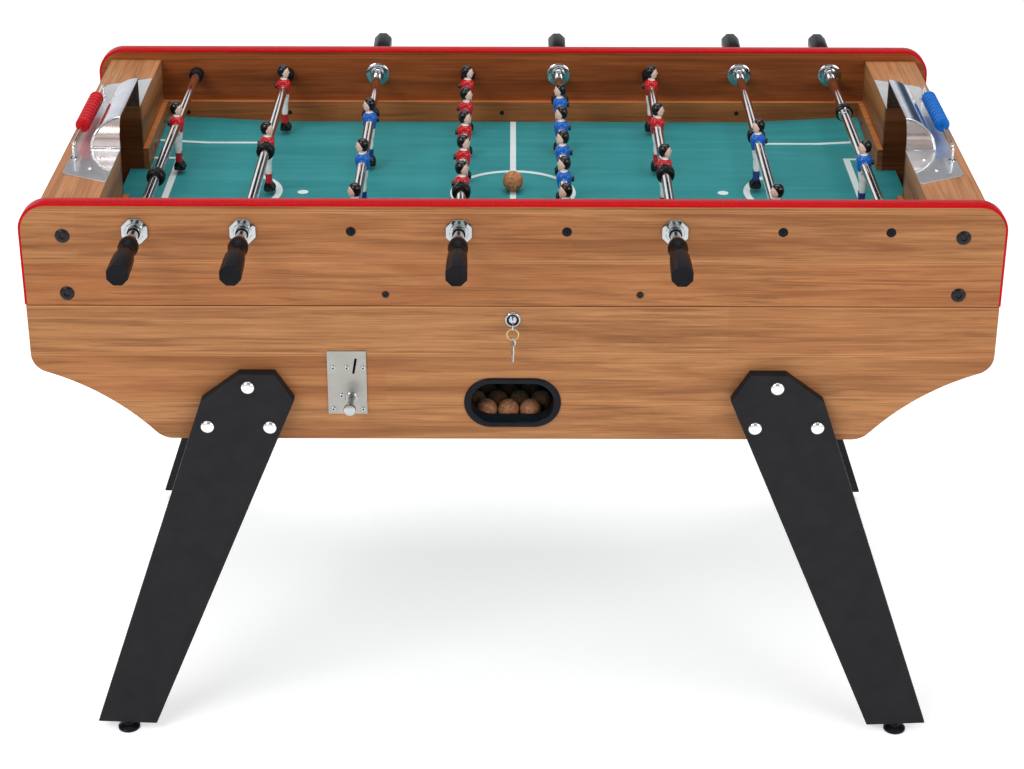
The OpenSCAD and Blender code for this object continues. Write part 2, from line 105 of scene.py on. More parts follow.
class Form:
    """Vertices and faces of one piece, in millimetres."""

    def __init__(self):
        self.v, self.f, self.m = [], [], []

    def part(self, verts, faces, mat=0, at=None):
        base = len(self.v)
        for p in verts:
            p = Vector(p)
            self.v.append(at @ p if at is not None else p)
        for face in faces:
            self.f.append([base + k for k in face])
            self.m.append(mat)

    def rings(self, rings, mat=0, at=None, loop=False):
        """Joins rings of points into a skin. A ring of one point is a pole."""
        verts, starts = [], []
        for ring in rings:
            starts.append((len(verts), len(ring)))
            verts += ring
        faces = []
        pairs = list(zip(starts, starts[1:]))
        if loop:
            pairs.append((starts[-1], starts[0]))
        for (a, na), (b, nb) in pairs:
            n = max(na, nb)
            for k in range(n):
                j = (k + 1) % n
                if na == 1:
                    faces.append([a, b + k, b + j])
                elif nb == 1:
                    faces.append([a + k, a + j, b])
                else:
                    faces.append([a + k, a + j, b + j, b + k])
        if not loop:
            for a, n in (starts[0], starts[-1]):
                if n > 2:
                    faces.append(list(range(a, a + n)))
        self.part(verts, faces, mat, at)

    def lathe(self, profile, mat=0, at=None, n=32, loop=False):
        """Turns (along, radius) pairs round the Y axis."""
        out = []
        for along, r in profile:
            ring = [(r * c, along, r * s) for c, s in circle(n)]
            out.append(ring if r > 0 else [(0, along, 0)])
        self.rings(out, mat, at, loop)

    def tube(self, path, r, mat=0, at=None, n=12):
        """Round bar of radius r along a path of points."""
        path = [Vector(p) for p in path]
        out, side = [], None
        for k, p in enumerate(path):
            step = (path[min(k + 1, len(path) - 1)] - path[max(k - 1, 0)]).normalized()
            if side is None:
                side = step.orthogonal().normalized()
            side = (side - side.dot(step) * step).normalized()
            up = step.cross(side)
            out.append([p + r * (c * side + s * up) for c, s in circle(n)])
        self.rings(out, mat, at)

    def prism(self, outline, lo, hi, round_=0.0, mat=0, at=None, along="Y", segments=2):
        """Plate between lo and hi along an axis, with its rims rounded."""
        bm = bmesh.new()

        def place(p, s):
            return {"X": (s, p[0], p[1]), "Y": (p[0], s, p[1]), "Z": (p[0], p[1], s)}[along]

        a = [bm.verts.new(place(p, lo)) for p in outline]
        b = [bm.verts.new(place(p, hi)) for p in outline]
        rims = []
        for loop in (a, b):
            face = bm.faces.new(loop)
            rims += list(face.edges)
        n = len(outline)
        for k in range(n):
            bm.faces.new([a[k], a[(k + 1) % n], b[(k + 1) % n], b[k]])
        bmesh.ops.recalc_face_normals(bm, faces=bm.faces)
        if round_ > 0:
            sharp = [e for e in bm.edges if e in rims or e.calc_face_angle() > math.radians(30)]
            size = {"offset": round_, "segments": segments, "profile": 0.5}
            bmesh.ops.bevel(bm, geom=sharp, affect="EDGES", clamp_overlap=True, **size)
        bm.verts.index_update()
        faces = [[v.index for v in f.verts] for f in bm.faces]
        self.part([v.co[:] for v in bm.verts], faces, mat, at)
        bm.free()

    def block(self, lo, hi, round_=0.0, mat=0, at=None, segments=2):
        """Box between two corners, with its edges rounded."""
        outline = [(lo[0], lo[2]), (hi[0], lo[2]), (hi[0], hi[2]), (lo[0], hi[2])]
        self.prism(outline, lo[1], hi[1], round_, mat, at, "Y", segments)

    def ball(self, centre, radii, mat=0, at=None, n=24, rows=14):
        """Ellipsoid with its poles up and down."""
        mid, r = Vector(centre), Vector(radii)
        out = []
        for k in range(rows + 1):
            t = math.pi * k / rows
            wide, up = math.sin(t), r.z * math.cos(t)
            ring = [mid + Vector((r.x * wide * c, r.y * wide * s, up)) for c, s in circle(n)]
            out.append([mid + Vector((0, 0, up))] if k in (0, rows) else ring)
        self.rings(out, mat, at)

    def make(self, name, body, mats, slot, nodes=(), angle=38, weighted=False):
        """Makes the object, in metres, riding on a body and standing for CAD nodes."""
        mesh = bpy.data.meshes.new(name)
        mesh.from_pydata([p * MM for p in self.v], [], self.f)
        for m in mats:
            mesh.materials.append(M[m])
        mesh.polygons.foreach_set("material_index", self.m)
        bm = bmesh.new()
        bm.from_mesh(mesh)
        bmesh.ops.recalc_face_normals(bm, faces=bm.faces)
        for f in bm.faces:
            f.smooth = True
        bm.to_mesh(mesh)
        bm.free()
        mesh.set_sharp_from_angle(angle=math.radians(angle))
        obj = bpy.data.objects.new(name, mesh)
        bpy.context.scene.collection.objects.link(obj)
        if weighted:
            obj.modifiers.new("Normals", "WEIGHTED_NORMAL").keep_sharp = True
        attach(obj, body)
        if nodes:
            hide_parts(*nodes)


def bulge(value, power):
    """A power that keeps the sign, which squares a circle up or pinches it."""
    return math.copysign(abs(value) ** power, value)


def oval(x, y, z, rx, ry, n=20, p=2.4):
    """Horizontal rounded ring."""
    return [(x + rx * bulge(c, 2 / p), y + ry * bulge(s, 2 / p), z) for c, s in circle(n)]


def half_oval(z, front, back, ry, px, py, n=24):
    """Horizontal ring that reaches differently far forwards and backwards."""
    return [((front if c > 0 else back) * bulge(c, px), ry * bulge(s, py), z) for c, s in circle(n)]


def shift(x, y, z):
    return Matrix.Translation((x, y, z))


def spin(degrees, axis):
    return Matrix.Rotation(math.radians(degrees), 4, axis)


# ---- materials ----
def shader(name, color, rough, metal=0.0, **more):
    """A material with its tree and its Principled node; more sets other constants on it."""
    mat = bpy.data.materials.new(name)
    mat.use_nodes = True
    bsdf = mat.node_tree.nodes["Principled BSDF"]
    bsdf.inputs["Base Color"].default_value = (*color, 1)
    bsdf.inputs["Roughness"].default_value = rough
    bsdf.inputs["Metallic"].default_value = metal
    for key, value in more.items():
        bsdf.inputs[key.replace("_", " ").title().replace("Ior", "IOR")].default_value = value
    return mat, mat.node_tree, bsdf


def node(tree, kind, **values):
    """A node with its settings given by name."""
    n = tree.nodes.new(kind)
    for key, value in values.items():
        setattr(n, key, value)
    return n


def feed(tree, socket, value):
    """Gives a socket a number, a colour or a link."""
    if isinstance(value, (int, float)):
        socket.default_value = value
    elif isinstance(value, tuple):
        socket.default_value = (*value, 1)
    else:
        tree.links.new(value, socket)


def math_node(tree, op, a, b=None):
    n = node(tree, "ShaderNodeMath", operation=op)
    feed(tree, n.inputs[0], a)
    if b is not None:
        feed(tree, n.inputs[1], b)
    return n.outputs[0]


def times(tree, a, b):
    return math_node(tree, "MULTIPLY", a, b)


def plus(tree, a, b):
    return math_node(tree, "ADD", a, b)


def size_of(tree, value):
    return math_node(tree, "ABSOLUTE", value)


def coordinates(tree, kind="Object"):
    return node(tree, "ShaderNodeTexCoord").outputs[kind]


def parts_of(tree, vector):
    """The three numbers of a vector."""
    n = node(tree, "ShaderNodeSeparateXYZ")
    tree.links.new(vector, n.inputs[0])
    return n.outputs


def place_vector(tree, scale=(1, 1, 1)):
    """Object coordinates, stretched."""
    mapping = node(tree, "ShaderNodeMapping")
    mapping.inputs["Scale"].default_value = scale
    tree.links.new(coordinates(tree), mapping.inputs["Vector"])
    return mapping.outputs["Vector"]


def noise(tree, vector, scale, detail=4.0, rough=0.55, distort=0.0):
    n = node(tree, "ShaderNodeTexNoise")
    for key, value in (("Scale", scale), ("Detail", detail), ("Roughness", rough), ("Distortion", distort)):
        n.inputs[key].default_value = value
    tree.links.new(vector, n.inputs["Vector"])
    return n.outputs["Fac"]


def chance(tree, value):
    """A steady random number for each whole number."""
    n = node(tree, "ShaderNodeTexWhiteNoise", noise_dimensions="1D")
    tree.links.new(value, n.inputs["W"])
    return n.outputs["Value"]


def ramp(tree, fac, stops):
    """Colours for stretches of a number, from (place, colour) stops."""
    n = node(tree, "ShaderNodeValToRGB")
    el = n.color_ramp.elements
    while len(el) < len(stops):
        el.new(0.5)
    for e, (pos, col) in zip(el, stops):
        e.position = pos
        e.color = (*col, 1)
    tree.links.new(fac, n.inputs["Fac"])
    return n.outputs["Color"]


def mix(tree, fac, a, b, mode="MIX"):
    n = node(tree, "ShaderNodeMix", data_type="RGBA", blend_type=mode)
    for k, value in ((0, fac), (6, a), (7, b)):
        feed(tree, n.inputs[k], value)
    return n.outputs[2]


def bump(tree, bsdf, height, strength, distance):
    n = node(tree, "ShaderNodeBump")
    n.inputs["Strength"].default_value = strength
    n.inputs["Distance"].default_value = distance
    tree.links.new(height, n.inputs["Height"])
    tree.links.new(n.outputs["Normal"], bsdf.inputs["Normal"])


def map_range(tree, fac, a, b, lo, hi):
    n = node(tree, "ShaderNodeMapRange")
    for key, value in (("From Min", a), ("From Max", b), ("To Min", lo), ("To Max", hi)):
        n.inputs[key].default_value = value
    tree.links.new(fac, n.inputs["Value"])
    return n.outputs["Result"]


def painted(name, color, rough, depth=0.06, grain=600.0, bump_mm=0.02, **more):
    """A coated or moulded surface: faint mottling in colour and gloss, and a fine skin."""
    mat, tree, bsdf = shader(name, color, rough, **more)
    where = place_vector(tree)
    broad = noise(tree, where, 35.0, 3.0)
    fine = noise(tree, where, grain, 2.0)
    dark = tuple(c * (1 - depth) for c in color)
    light = tuple(min(1.0, c * (1 + depth) + depth * 0.01) for c in color)
    tree.links.new(ramp(tree, broad, [(0.3, dark), (0.7, light)]), bsdf.inputs["Base Color"])
    gloss = map_range(tree, fine, 0.3, 0.7, max(0.02, rough - 0.06), rough + 0.06)
    tree.links.new(gloss, bsdf.inputs["Roughness"])
    bump(tree, bsdf, fine, 0.25, bump_mm * MM)
    return mat


def oak(name, light, dark, planks, along="X", painted_light_mask=None, tint=(1, 1, 1), seed=0.0, rough=0.42):
    """Printed oak laminate: planks lying along one axis, each with its own grain."""
    mat, tree, bsdf = shader(name, light, rough, specular_ior_level=0.18)
    x, y, z = parts_of(tree, coordinates(tree))
    normal = parts_of(tree, coordinates(tree, "Normal"))
    turned = [math_node(tree, "GREATER_THAN", size_of(tree, n), 0.7) for n in normal]
    main, other = (x, y) if along == "X" else (y, x)
    run = blend(tree, turned[0 if along == "X" else 1], main, other)
    across = blend(tree, turned[2], z, other)
    # Which plank a point lies in, and how near it is to a joint
    row = math_node(tree, "DIVIDE", plus(tree, across, seed), planks)
    which = math_node(tree, "FLOOR", row)
    edge = size_of(tree, math_node(tree, "SUBTRACT", math_node(tree, "FRACT", row), 0.5))
    joint = map_range(tree, edge, 0.486, 0.5, 0.0, 1.0)
    tone = chance(tree, which)
    # Each row is cut into lengths, so the tone changes along it too
    cut = math_node(tree, "FLOOR", plus(tree, times(tree, run, 1.35), times(tree, tone, 5.0)))
    hue = chance(tree, plus(tree, times(tree, which, 17.0), cut))
    # Long streaks of grain, slid along by a different amount in each plank
    slide = plus(tree, run, times(tree, tone, 7.0))

    def grain(stretch, width, detail, rough_, distort):
        vec = node(tree, "ShaderNodeCombineXYZ")
        for k, (value, factor) in enumerate(((slide, stretch), (across, width), (which, 3.7))):
            tree.links.new(times(tree, value, factor), vec.inputs[k])
        return noise(tree, vec.outputs[0], 1.0, detail, rough_, distort)

    broad = grain(1.6, 22.0, 5.0, 0.6, 1.4)
    rings = grain(3.0, 85.0, 4.0, 0.6, 1.8)
    fine = grain(9.0, 420.0, 3.0, 0.7, 0.0)
    middle = tuple((a + b) / 2 for a, b in zip(light, dark))
    base = ramp(tree, broad, [(0.33, dark), (0.46, middle), (0.57, light), (0.74, middle)])
    redder = (middle[0] * 1.04, middle[1] * 0.84, middle[2] * 0.72)
    tinted = mix(tree, map_range(tree, hue, 0, 1, 0.0, 0.60), base, redder)
    shade = map_range(tree, tone, 0, 1, 0.88, 1.06)
    grey = node(tree, "ShaderNodeCombineColor")
    for k in range(3):
        tree.links.new(shade, grey.inputs[k])
    toned = mix(tree, 1.0, tinted, grey.outputs[0], "MULTIPLY")
    deep = tuple(c * 0.60 for c in dark)
    ringed = mix(tree, map_range(tree, rings, 0.48, 0.66, 0.0, 0.60), toned, deep)
    grained = mix(tree, map_range(tree, fine, 0.38, 0.70, 0.0, 0.50), ringed, deep)
    beside = map_range(tree, edge, 0.455, 0.480, 0.0, 1.0)
    pale = mix(tree, times(tree, beside, 0.40), grained, tuple(c * 1.25 for c in light))
    color = mix(tree, times(tree, joint, 0.60), pale, tuple(c * 0.45 for c in dark))
    # Where the mask is 1 the colour is multiplied by the tint: painted shade inside the box and the goal
    # pockets, and a painted highlight on the rail tops.
    if painted_light_mask is not None:
        color = mix(tree, painted_light_mask(tree, x, y, z), color, mix(tree, 1.0, color, tint, "MULTIPLY"))
    tree.links.new(color, bsdf.inputs["Base Color"])
    tree.links.new(map_range(tree, fine, 0.3, 0.7, rough - 0.05, rough + 0.09), bsdf.inputs["Roughness"])
    bump(tree, bsdf, fine, 0.22, 0.00012)
    return mat


def blend(tree, fac, a, b):
    """a where fac is 0 and b where it is 1."""
    n = node(tree, "ShaderNodeMix", data_type="FLOAT")
    for sock, value in ((n.inputs[0], fac), (n.inputs[2], a), (n.inputs[3], b)):
        tree.links.new(value, sock)
    return n.outputs[0]


def below(tree, value, limit):
    """1 where a number, whatever its sign, is under the limit."""
    return math_node(tree, "LESS_THAN", size_of(tree, value), limit)


# Reach of the pocket behind each goal, in metres from the middle
POCKET_X, POCKET_Y = 0.6905, 0.1205


def inner_face(tree, x, y, z):
    """The faces of the side boards that look into the box, painted darker: partly darker wood, partly painted
    shade.
    """
    return below(tree, y, INNER_Y * MM + 0.0005)


def goal_mouth(tree, x, y, z):
    """Both cheeks of the goal mouth, and the pocket behind it, painted darker as painted shade."""
    return below(tree, y, POCKET_Y)


def pocket_back(tree, x, y, z):
    """The end panel seen through the goal mouth, and the slot over it, painted dark as painted shade inside
    the pocket.
    """
    low = math_node(tree, "LESS_THAN", z, CAP_TOP * MM - 0.0005)
    near = times(tree, below(tree, x, POCKET_X), below(tree, y, POCKET_Y))
    return times(tree, low, near)


def rail_top(tree, x, y, z):
    """The upper edge of the low rails, painted lighter as a painted highlight."""
    return math_node(tree, "GREATER_THAN", z, (RAIL_HI.z - 0.8) * MM)


def pitch(name, field_z):
    """Teal marbled field with its white lines."""
    mat, tree, bsdf = shader(name, (0.05, 0.24, 0.22), 0.38, specular_ior_level=0.2)
    x, y, z = parts_of(tree, coordinates(tree))
    ax, ay = size_of(tree, x), size_of(tree, y)

    def inside(value, lo, hi):
        over = math_node(tree, "GREATER_THAN", value, lo * MM)
        return times(tree, over, math_node(tree, "LESS_THAN", value, hi * MM))

    def both(a, b):
        return times(tree, a, b)

    def radius(cx):
        dx = math_node(tree, "SUBTRACT", ax, cx * MM)
        return math_node(tree, "SQRT", plus(tree, times(tree, dx, dx), times(tree, y, y)))

    # Halfway line and circle, penalty spots, then the two boxes and the arc of each half
    marks = [
        inside(ax, -1, 5),
        inside(radius(0), 95, 104),
        inside(radius(348), -1, 9),
        both(inside(ay, 236, 244), inside(ax, 420, 640)),
        both(inside(ax, 420, 428), inside(ay, -1, 244)),
        both(inside(ay, 158, 166), inside(ax, 569, 640)),
        both(inside(ax, 568, 579), inside(ay, -1, 166)),
        both(inside(radius(480), 87, 98), inside(ax, 0, 424)),
    ]
    lines = marks[0]
    for m in marks[1:]:
        lines = math_node(tree, "MAXIMUM", lines, m)
    top = math_node(tree, "GREATER_THAN", z, field_z * MM - 0.0005)
    low = math_node(tree, "LESS_THAN", z, field_z * MM + 0.012)
    lines = both(lines, both(top, low))
    where = place_vector(tree, (2.2, 26.0, 1.0))
    cloud = noise(tree, where, 1.0, 6.0, 0.6, 1.2)
    speck = noise(tree, place_vector(tree), 900.0, 2.0)
    teal = [(0.25, (0.020, 0.200, 0.212)), (0.5, (0.028, 0.245, 0.260)), (0.75, (0.042, 0.290, 0.305))]
    base = ramp(tree, cloud, teal)
    wear_and_shade = mix(tree, map_range(tree, speck, 0.4, 0.8, 0.0, 0.12), (0.66, 0.74, 0.74), (0.40, 0.58, 0.57))
    tree.links.new(mix(tree, lines, base, wear_and_shade), bsdf.inputs["Base Color"])
    tree.links.new(map_range(tree, speck, 0.3, 0.7, 0.32, 0.46), bsdf.inputs["Roughness"])
    bump(tree, bsdf, speck, 0.15, 0.00008)
    return mat


def metal(name, color, rough, stretch=(1, 1, 1), scale=300.0, spread=0.05, bump_mm=0.01, **more):
    """Polished or brushed metal, with faint lines along the unstretched way."""
    mat, tree, bsdf = shader(name, color, rough, 1.0, **more)
    lines = noise(tree, place_vector(tree, stretch), scale, 3.0, 0.6)
    cloud = noise(tree, place_vector(tree), 25.0, 3.0)
    dark = tuple(c * 0.86 for c in color)
    tree.links.new(ramp(tree, cloud, [(0.3, dark), (0.65, color)]), bsdf.inputs["Base Color"])
    gloss = map_range(tree, lines, 0.3, 0.7, max(0.03, rough - spread), rough + spread)
    tree.links.new(gloss, bsdf.inputs["Roughness"])
    bump(tree, bsdf, lines, 0.12, bump_mm * MM)
    return mat


def cork_mat(name, depth=1.0, **more):
    """Pressed cork: tan body, darker crumbs. A lower depth darkens the whole ball: painted shade on the balls
    waiting in the outlet, darker in the rows further in.
    """
    mat, tree, bsdf = shader(name, (0.45, 0.20, 0.08), 0.8, **more)
    where = place_vector(tree)
    cells = node(tree, "ShaderNodeTexVoronoi")
    cells.inputs["Scale"].default_value = 260.0
    tree.links.new(where, cells.inputs["Vector"])
    grit = noise(tree, where, 420.0, 4.0, 0.7)
    tans = [(0.1, (0.22, 0.085, 0.032)), (0.45, (0.47, 0.21, 0.085)), (0.9, (0.60, 0.31, 0.15))]
    base = ramp(tree, cells.outputs["Color"], tans)
    gritty = mix(tree, map_range(tree, grit, 0.52, 0.62, 0.0, 0.6), base, (0.20, 0.075, 0.03))
    wear_and_shade = mix(tree, 1.0, gritty, (depth, depth * 0.86, depth * 0.80), "MULTIPLY")
    tree.links.new(wear_and_shade, bsdf.inputs["Base Color"])
    bump(tree, bsdf, grit, 0.5, 0.0004)
    return mat


# ---- the materials used ----
WOOD_LIGHT, WOOD_DARK = (0.448, 0.203, 0.080), (0.252, 0.094, 0.030)
LOWER_LIGHT, LOWER_DARK = (0.445, 0.205, 0.080), (0.260, 0.100, 0.034)
ENDS_LIGHT, ENDS_DARK = (0.50, 0.245, 0.112), (0.34, 0.14, 0.054)
GOAL_LIGHT, GOAL_DARK = (0.36, 0.145, 0.050), (0.22, 0.075, 0.024)
RAIL_LIGHT, RAIL_DARK = (0.37, 0.138, 0.045), (0.25, 0.083, 0.026)
# Darker inner faces of the side boards: partly darker wood, partly painted shade inside the box.
INSIDE = dict(painted_light_mask=inner_face, tint=(0.74, 0.45, 0.29))
# Darker goal mouth and pocket: painted shade.
POCKET = dict(along="Y", tint=(0.45, 0.38, 0.33))
# Lighter top edge of the rails: painted highlight.
RAIL_TOP_HIGHLIGHT = dict(painted_light_mask=rail_top, tint=(1.7, 1.75, 1.8), rough=0.38)
MATT = dict(specular_ior_level=0.05, coat_weight=0.02, coat_roughness=0.08)
BEAD = dict(specular_ior_level=0.1, coat_weight=0.06, coat_roughness=0.12)
SHIRT = dict(specular_ior_level=0.25, coat_weight=0.5, coat_roughness=0.06)
SOCK = dict(coat_weight=0.4, coat_roughness=0.06)
ENAMEL = dict(coat_weight=0.3, coat_roughness=0.1)
LACQUER = dict(specular_ior_level=0.25, coat_weight=0.25, coat_roughness=0.04)
MIRROR = dict(coat_weight=1.0, coat_ior=2.6, coat_roughness=0.05)
EVEN = (1, 1, 1)
M = {
    "front": oak("OakFront", WOOD_LIGHT, WOOD_DARK, 0.081, seed=0.063, **INSIDE),
    "lower": oak("OakLower", LOWER_LIGHT, LOWER_DARK, 0.081, seed=0.054, **INSIDE),
    "ends": oak("OakEnds", ENDS_LIGHT, ENDS_DARK, 0.062, painted_light_mask=pocket_back, seed=0.01, **POCKET),
    "goal_wood": oak("OakGoal", GOAL_LIGHT, GOAL_DARK, 0.35, painted_light_mask=goal_mouth, **POCKET),
    "rail_wood": oak("OakRail", RAIL_LIGHT, RAIL_DARK, 0.35, **RAIL_TOP_HIGHLIGHT),
    "carcass": oak("Carcass", (0.42, 0.215, 0.100), (0.29, 0.130, 0.055), 0.11, along="Y", rough=0.6),
    # Near-black boards of the ball chutes: painted shade inside the outlet.
    "trough": painted("TroughBoard", (0.022, 0.014, 0.010), 0.6, 0.12),
    "trim": painted("RedTrim", (0.41, 0.003, 0.006), 0.30, 0.05, **MATT),
    "pitch": pitch("Pitch", FIELD_Z),
    "leg": painted("BlackLeg", (0.012, 0.012, 0.014), 0.50, 0.12, 900.0, 0.05, specular_ior_level=0.12),
    "chrome": metal("Chrome", (0.84, 0.85, 0.86), 0.08, EVEN, 500.0, 0.03),
    "bearing": metal("BearingChrome", (0.46, 0.48, 0.49), 0.10, EVEN, 500.0, 0.03),
    "rod": metal("RodChrome", (0.86, 0.86, 0.88), 0.09, (1, 0.02, 1), 900.0, 0.03),
    "steel": metal("BrushedSteel", (0.36, 0.35, 0.325), 0.36, (0.03, 1, 1), 900.0, 0.10, 0.02),
    "hood": metal("HoodSteel", (0.62, 0.65, 0.72), 0.12, (1, 0.03, 1), 700.0, 0.04, 0.01),
    "plate": metal("PlateSteel", (0.88, 0.90, 0.94), 0.36, (1, 0.03, 1), 700.0, 0.06, 0.005, **MIRROR),
    "cheek": metal("CheekSteel", (0.60, 0.52, 0.49), 0.24, EVEN, 300.0, 0.03),
    "zinc": metal("Zinc", (0.55, 0.56, 0.57), 0.28, EVEN, 200.0, 0.08),
    "brass": metal("WornBrass", (0.72, 0.56, 0.30), 0.25, EVEN, 260.0, 0.08),
    "black": painted("BlackPlastic", (0.004, 0.005, 0.008), 0.26, 0.2, 700.0, specular_ior_level=0.12),
    "rubber": painted("BlackRubber", (0.005, 0.005, 0.005), 0.22, 0.2, 1200.0, 0.05, specular_ior_level=0.22),
    "grip": painted("GripPlastic", (0.005, 0.0052, 0.0072), 0.34, 0.2, 1400.0, 0.05, specular_ior_level=0.09),
    "bolt": painted("BlackBolt", (0.005, 0.005, 0.007), 0.22, 0.2, 500.0, specular_ior_level=0.25),
    # Near-black floor of recesses and gaps: painted shade.
    "hole": painted("DeepRecess", (0.004, 0.004, 0.005), 0.7, 0.2),
    "cork": cork_mat("Cork"),
    # The waiting balls, darker from the front row back: painted shade inside the outlet.
    "cork_front": cork_mat("FrontRowCork", 0.72, coat_weight=0.35, coat_roughness=0.30),
    "cork_mid_in_shade": cork_mat("MidRowCorkInShade", 0.26),
    "cork_back": cork_mat("BackRowCorkInShade", 0.10),
    "bead_red": painted("BeadRed", (0.44, 0.003, 0.008), 0.30, **BEAD),
    "bead_blue": painted("BeadBlue", (0.001, 0.110, 0.42), 0.30, **BEAD),
    "shirt_red": painted("ShirtRed", (0.48, 0.004, 0.008), 0.16, 0.08, **SHIRT),
    "shirt_blue": painted("ShirtBlue", (0.002, 0.105, 0.46), 0.16, 0.08, **SHIRT),
    "sock_blue": painted("SockBlue", (0.010, 0.018, 0.20), 0.28, 0.08, **SOCK),
    "skin": painted("SkinPaint", (0.78, 0.53, 0.42), 0.30, 0.05, **ENAMEL),
    "white": painted("WhitePaint", (0.78, 0.76, 0.74), 0.28, 0.04, **ENAMEL),
    "hair": painted("BlackPaint", (0.004, 0.004, 0.005), 0.14, 0.2, **LACQUER),
}


def dress(node_name, material):
    """Gives a carried-over CAD node its finished material."""
    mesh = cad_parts[node_name].data
    mesh.materials.clear()
    mesh.materials.append(M[material])
    for p in mesh.polygons:
        p.material_index = 0


dress("top_side_boards", "front")
dress("base_side_boards", "lower")
dress("end_casings", "ends")
dress("goal_boards", "goal_wood")
dress("inner_rails", "rail_wood")
dress("playfield", "pitch")
dress("base_cross_boards", "carcass")
dress("ball_chutes", "trough")
dress("coin_plate", "steel")
dress("hinge_top_leaves", "zinc")
dress("hinge_base_leaves", "zinc")


# ---- edge trim ----
def make_trims():
    """T-moulding with a rounded back, over the top and ends of both side boards."""
    form = Form()
    x, top, low = TRIM_HI.x - TRIM_RISE, TRIM_HI.z - TRIM_RISE, TRIM_LO.z
    path = [((x, low), (1, 0)), ((x, low + 50), (1, 0))]
    for n in quarter(24):
        path.append(((x - RIM_R + RIM_R * n[0], top - RIM_R + RIM_R * n[1]), n))
    path += [((-p[0], p[1]), (-n[0], n[1])) for p, n in reversed(path)]
    half = (OUTER_Y - INNER_Y) / 2
    section = [(-half, 0)]
    round_ = 2.2
    for a in (0, 22, 45, 67, 90):
        t = math.radians(a)
        section.append((-half + round_ - round_ * math.cos(t), TRIM_RISE - round_ + round_ * math.sin(t)))
    section += [(-s, n) for s, n in reversed(section)]
    for side in (-1, 1):
        mid = side * (OUTER_Y - half)
        form.rings([[(p[0] + n[0] * d, mid + s, p[1] + n[1] * d) for s, d in section] for p, n in path])
    form.make("edge_trim_pieces", "top_box", ["trim"], "edge_trim", ["edge_trims"])


# ---- rods ----
def reach(node, i):
    """Where a piece of rod i starts and ends along the rod, counted from its handle."""
    lo, hi = box_mm(node)
    return (lo.y, hi.y) if FRONT_HANDLE[i - 1] else (-hi.y, -lo.y)


def make_rods():
    """Tube, inner rod, handle and players of every rod."""
    for i in range(1, 9):
        at = at_rod(i)
        near, far = reach(f"rod_tube_{i}", i)
        near = min(near, -far)
        bottom = near + 110
        tube = [(near, 0.001), (near, 8), (far - 0.8, 8), (far, 7.2)]
        tube += [(far, 5.08), (bottom, 5.08), (bottom, 0.001)]
        form = Form()
        form.lathe(tube, 0, at, 40)
        form.make(f"rod_tube_{i}_chrome", f"rod_{i}_sliding", ["rod"], "chrome", [f"rod_tube_{i}"])
        start, end = reach(f"inner_rod_{i}", i)
        form = Form()
        bar = [(start, 0), (start, 4.4), (start + 0.8, 5), (end - 0.8, 5), (end, 4.4), (end, 0)]
        form.lathe(bar, 0, at, 32)
        form.make(f"inner_rod_{i}_chrome", f"rod_{i}_turning", ["rod"], "chrome", [f"inner_rod_{i}"])
        make_grip(i, at, near - 10)
        make_men(i, at)


def octagon(y, af, chamfer=1.6):
    """Octagon, af across its flats, with softened corners, as a ring in the XZ plane."""
    r, out = af / 2, []
    half = r * math.tan(math.radians(22.5))
    for c, s in circle(8):
        for side in (-1, 1):
            w = side * (half - chamfer)
            out.append((r * c - w * s, y, r * s + w * c))
    return out


# Turned outlines counted back from the inner end of the collar, the buffer and its clamp ring
COLLAR = [(0, 8.0), (0, 11.6), (-1, 12.8), (-6, 14.2), (-12, 15.0), (-20, 15.0), (-25, 13.8), (-30, 12.4)]
COLLAR += [(-36, 12.0), (-40, 12.0), (-40, 8.0)]
BUFFER = [(-6, 8.0), (-6, 12.6), (-7, 14.2), (-9.5, 15.0), (-11, 14.9), (-12, 13.2), (-13, 14.9)]
BUFFER += [(-15.5, 14.9), (-16.5, 13.2), (-17.5, 14.8), (-21, 14.4), (-23, 13.0), (-24, 11.4), (-24, 8.0)]
CLAMP_RING = [(-6, 8.0), (-6, 10.8), (-5.4, 11.3), (-0.6, 11.3), (0, 10.7), (0, 8.0)]


def make_grip(i, at, end):
    """Moulded octagonal handle with its collar, and the rubber buffer with a steel clamp ring."""
    form = Form()
    top = end + 121
    form.lathe(COLLAR, 0, at @ shift(0, top, 0), 40, loop=True)
    rings = [(top - 34, 21.5, 1.0), (top - 42, 23.0, 0.9), (top - 52, 28.4, 0.8), (top - 75, 30.2, 0.7)]
    rings += [(end + 2, 31.4, 0.7), (end + 0.6, 31.0, 0.8), (end, 29.8, 1.0)]
    form.rings([octagon(y, flats, chamfer) for y, flats, chamfer in rings], 0, at)
    tip = at @ shift(0, reach(f"grip_and_buffer_{i}", i)[1], 0)
    form.lathe(BUFFER, 1, tip, 40, loop=True)
    form.lathe(CLAMP_RING, 2, tip, 32, loop=True)
    screw = tip @ shift(0, -3, 0) @ spin(90, "X")
    form.lathe([(0, 0), (12.4, 1.9), (12.8, 1.4), (12.8, 0)], 2, screw, 12)
    mats = ["grip", "rubber", "chrome"]
    form.make(f"grip_{i}", f"rod_{i}_sliding", mats, "grip_plastic", [f"grip_and_buffer_{i}"], angle=24)


# A player, from the rod's axis at 0 up and down. Shirt: (height, half depth, half width)
TORSO = [(-12.4, 8.4, 9.4), (-12, 9.8, 10.4), (-9, 10.9, 11.4), (-3, 12.0, 12.0), (4, 12.5, 12.8)]
TORSO += [(9, 11.8, 13.0), (12.4, 9.4, 11.4), (14.4, 6.4, 8.2), (15.4, 4.2, 5.4)]
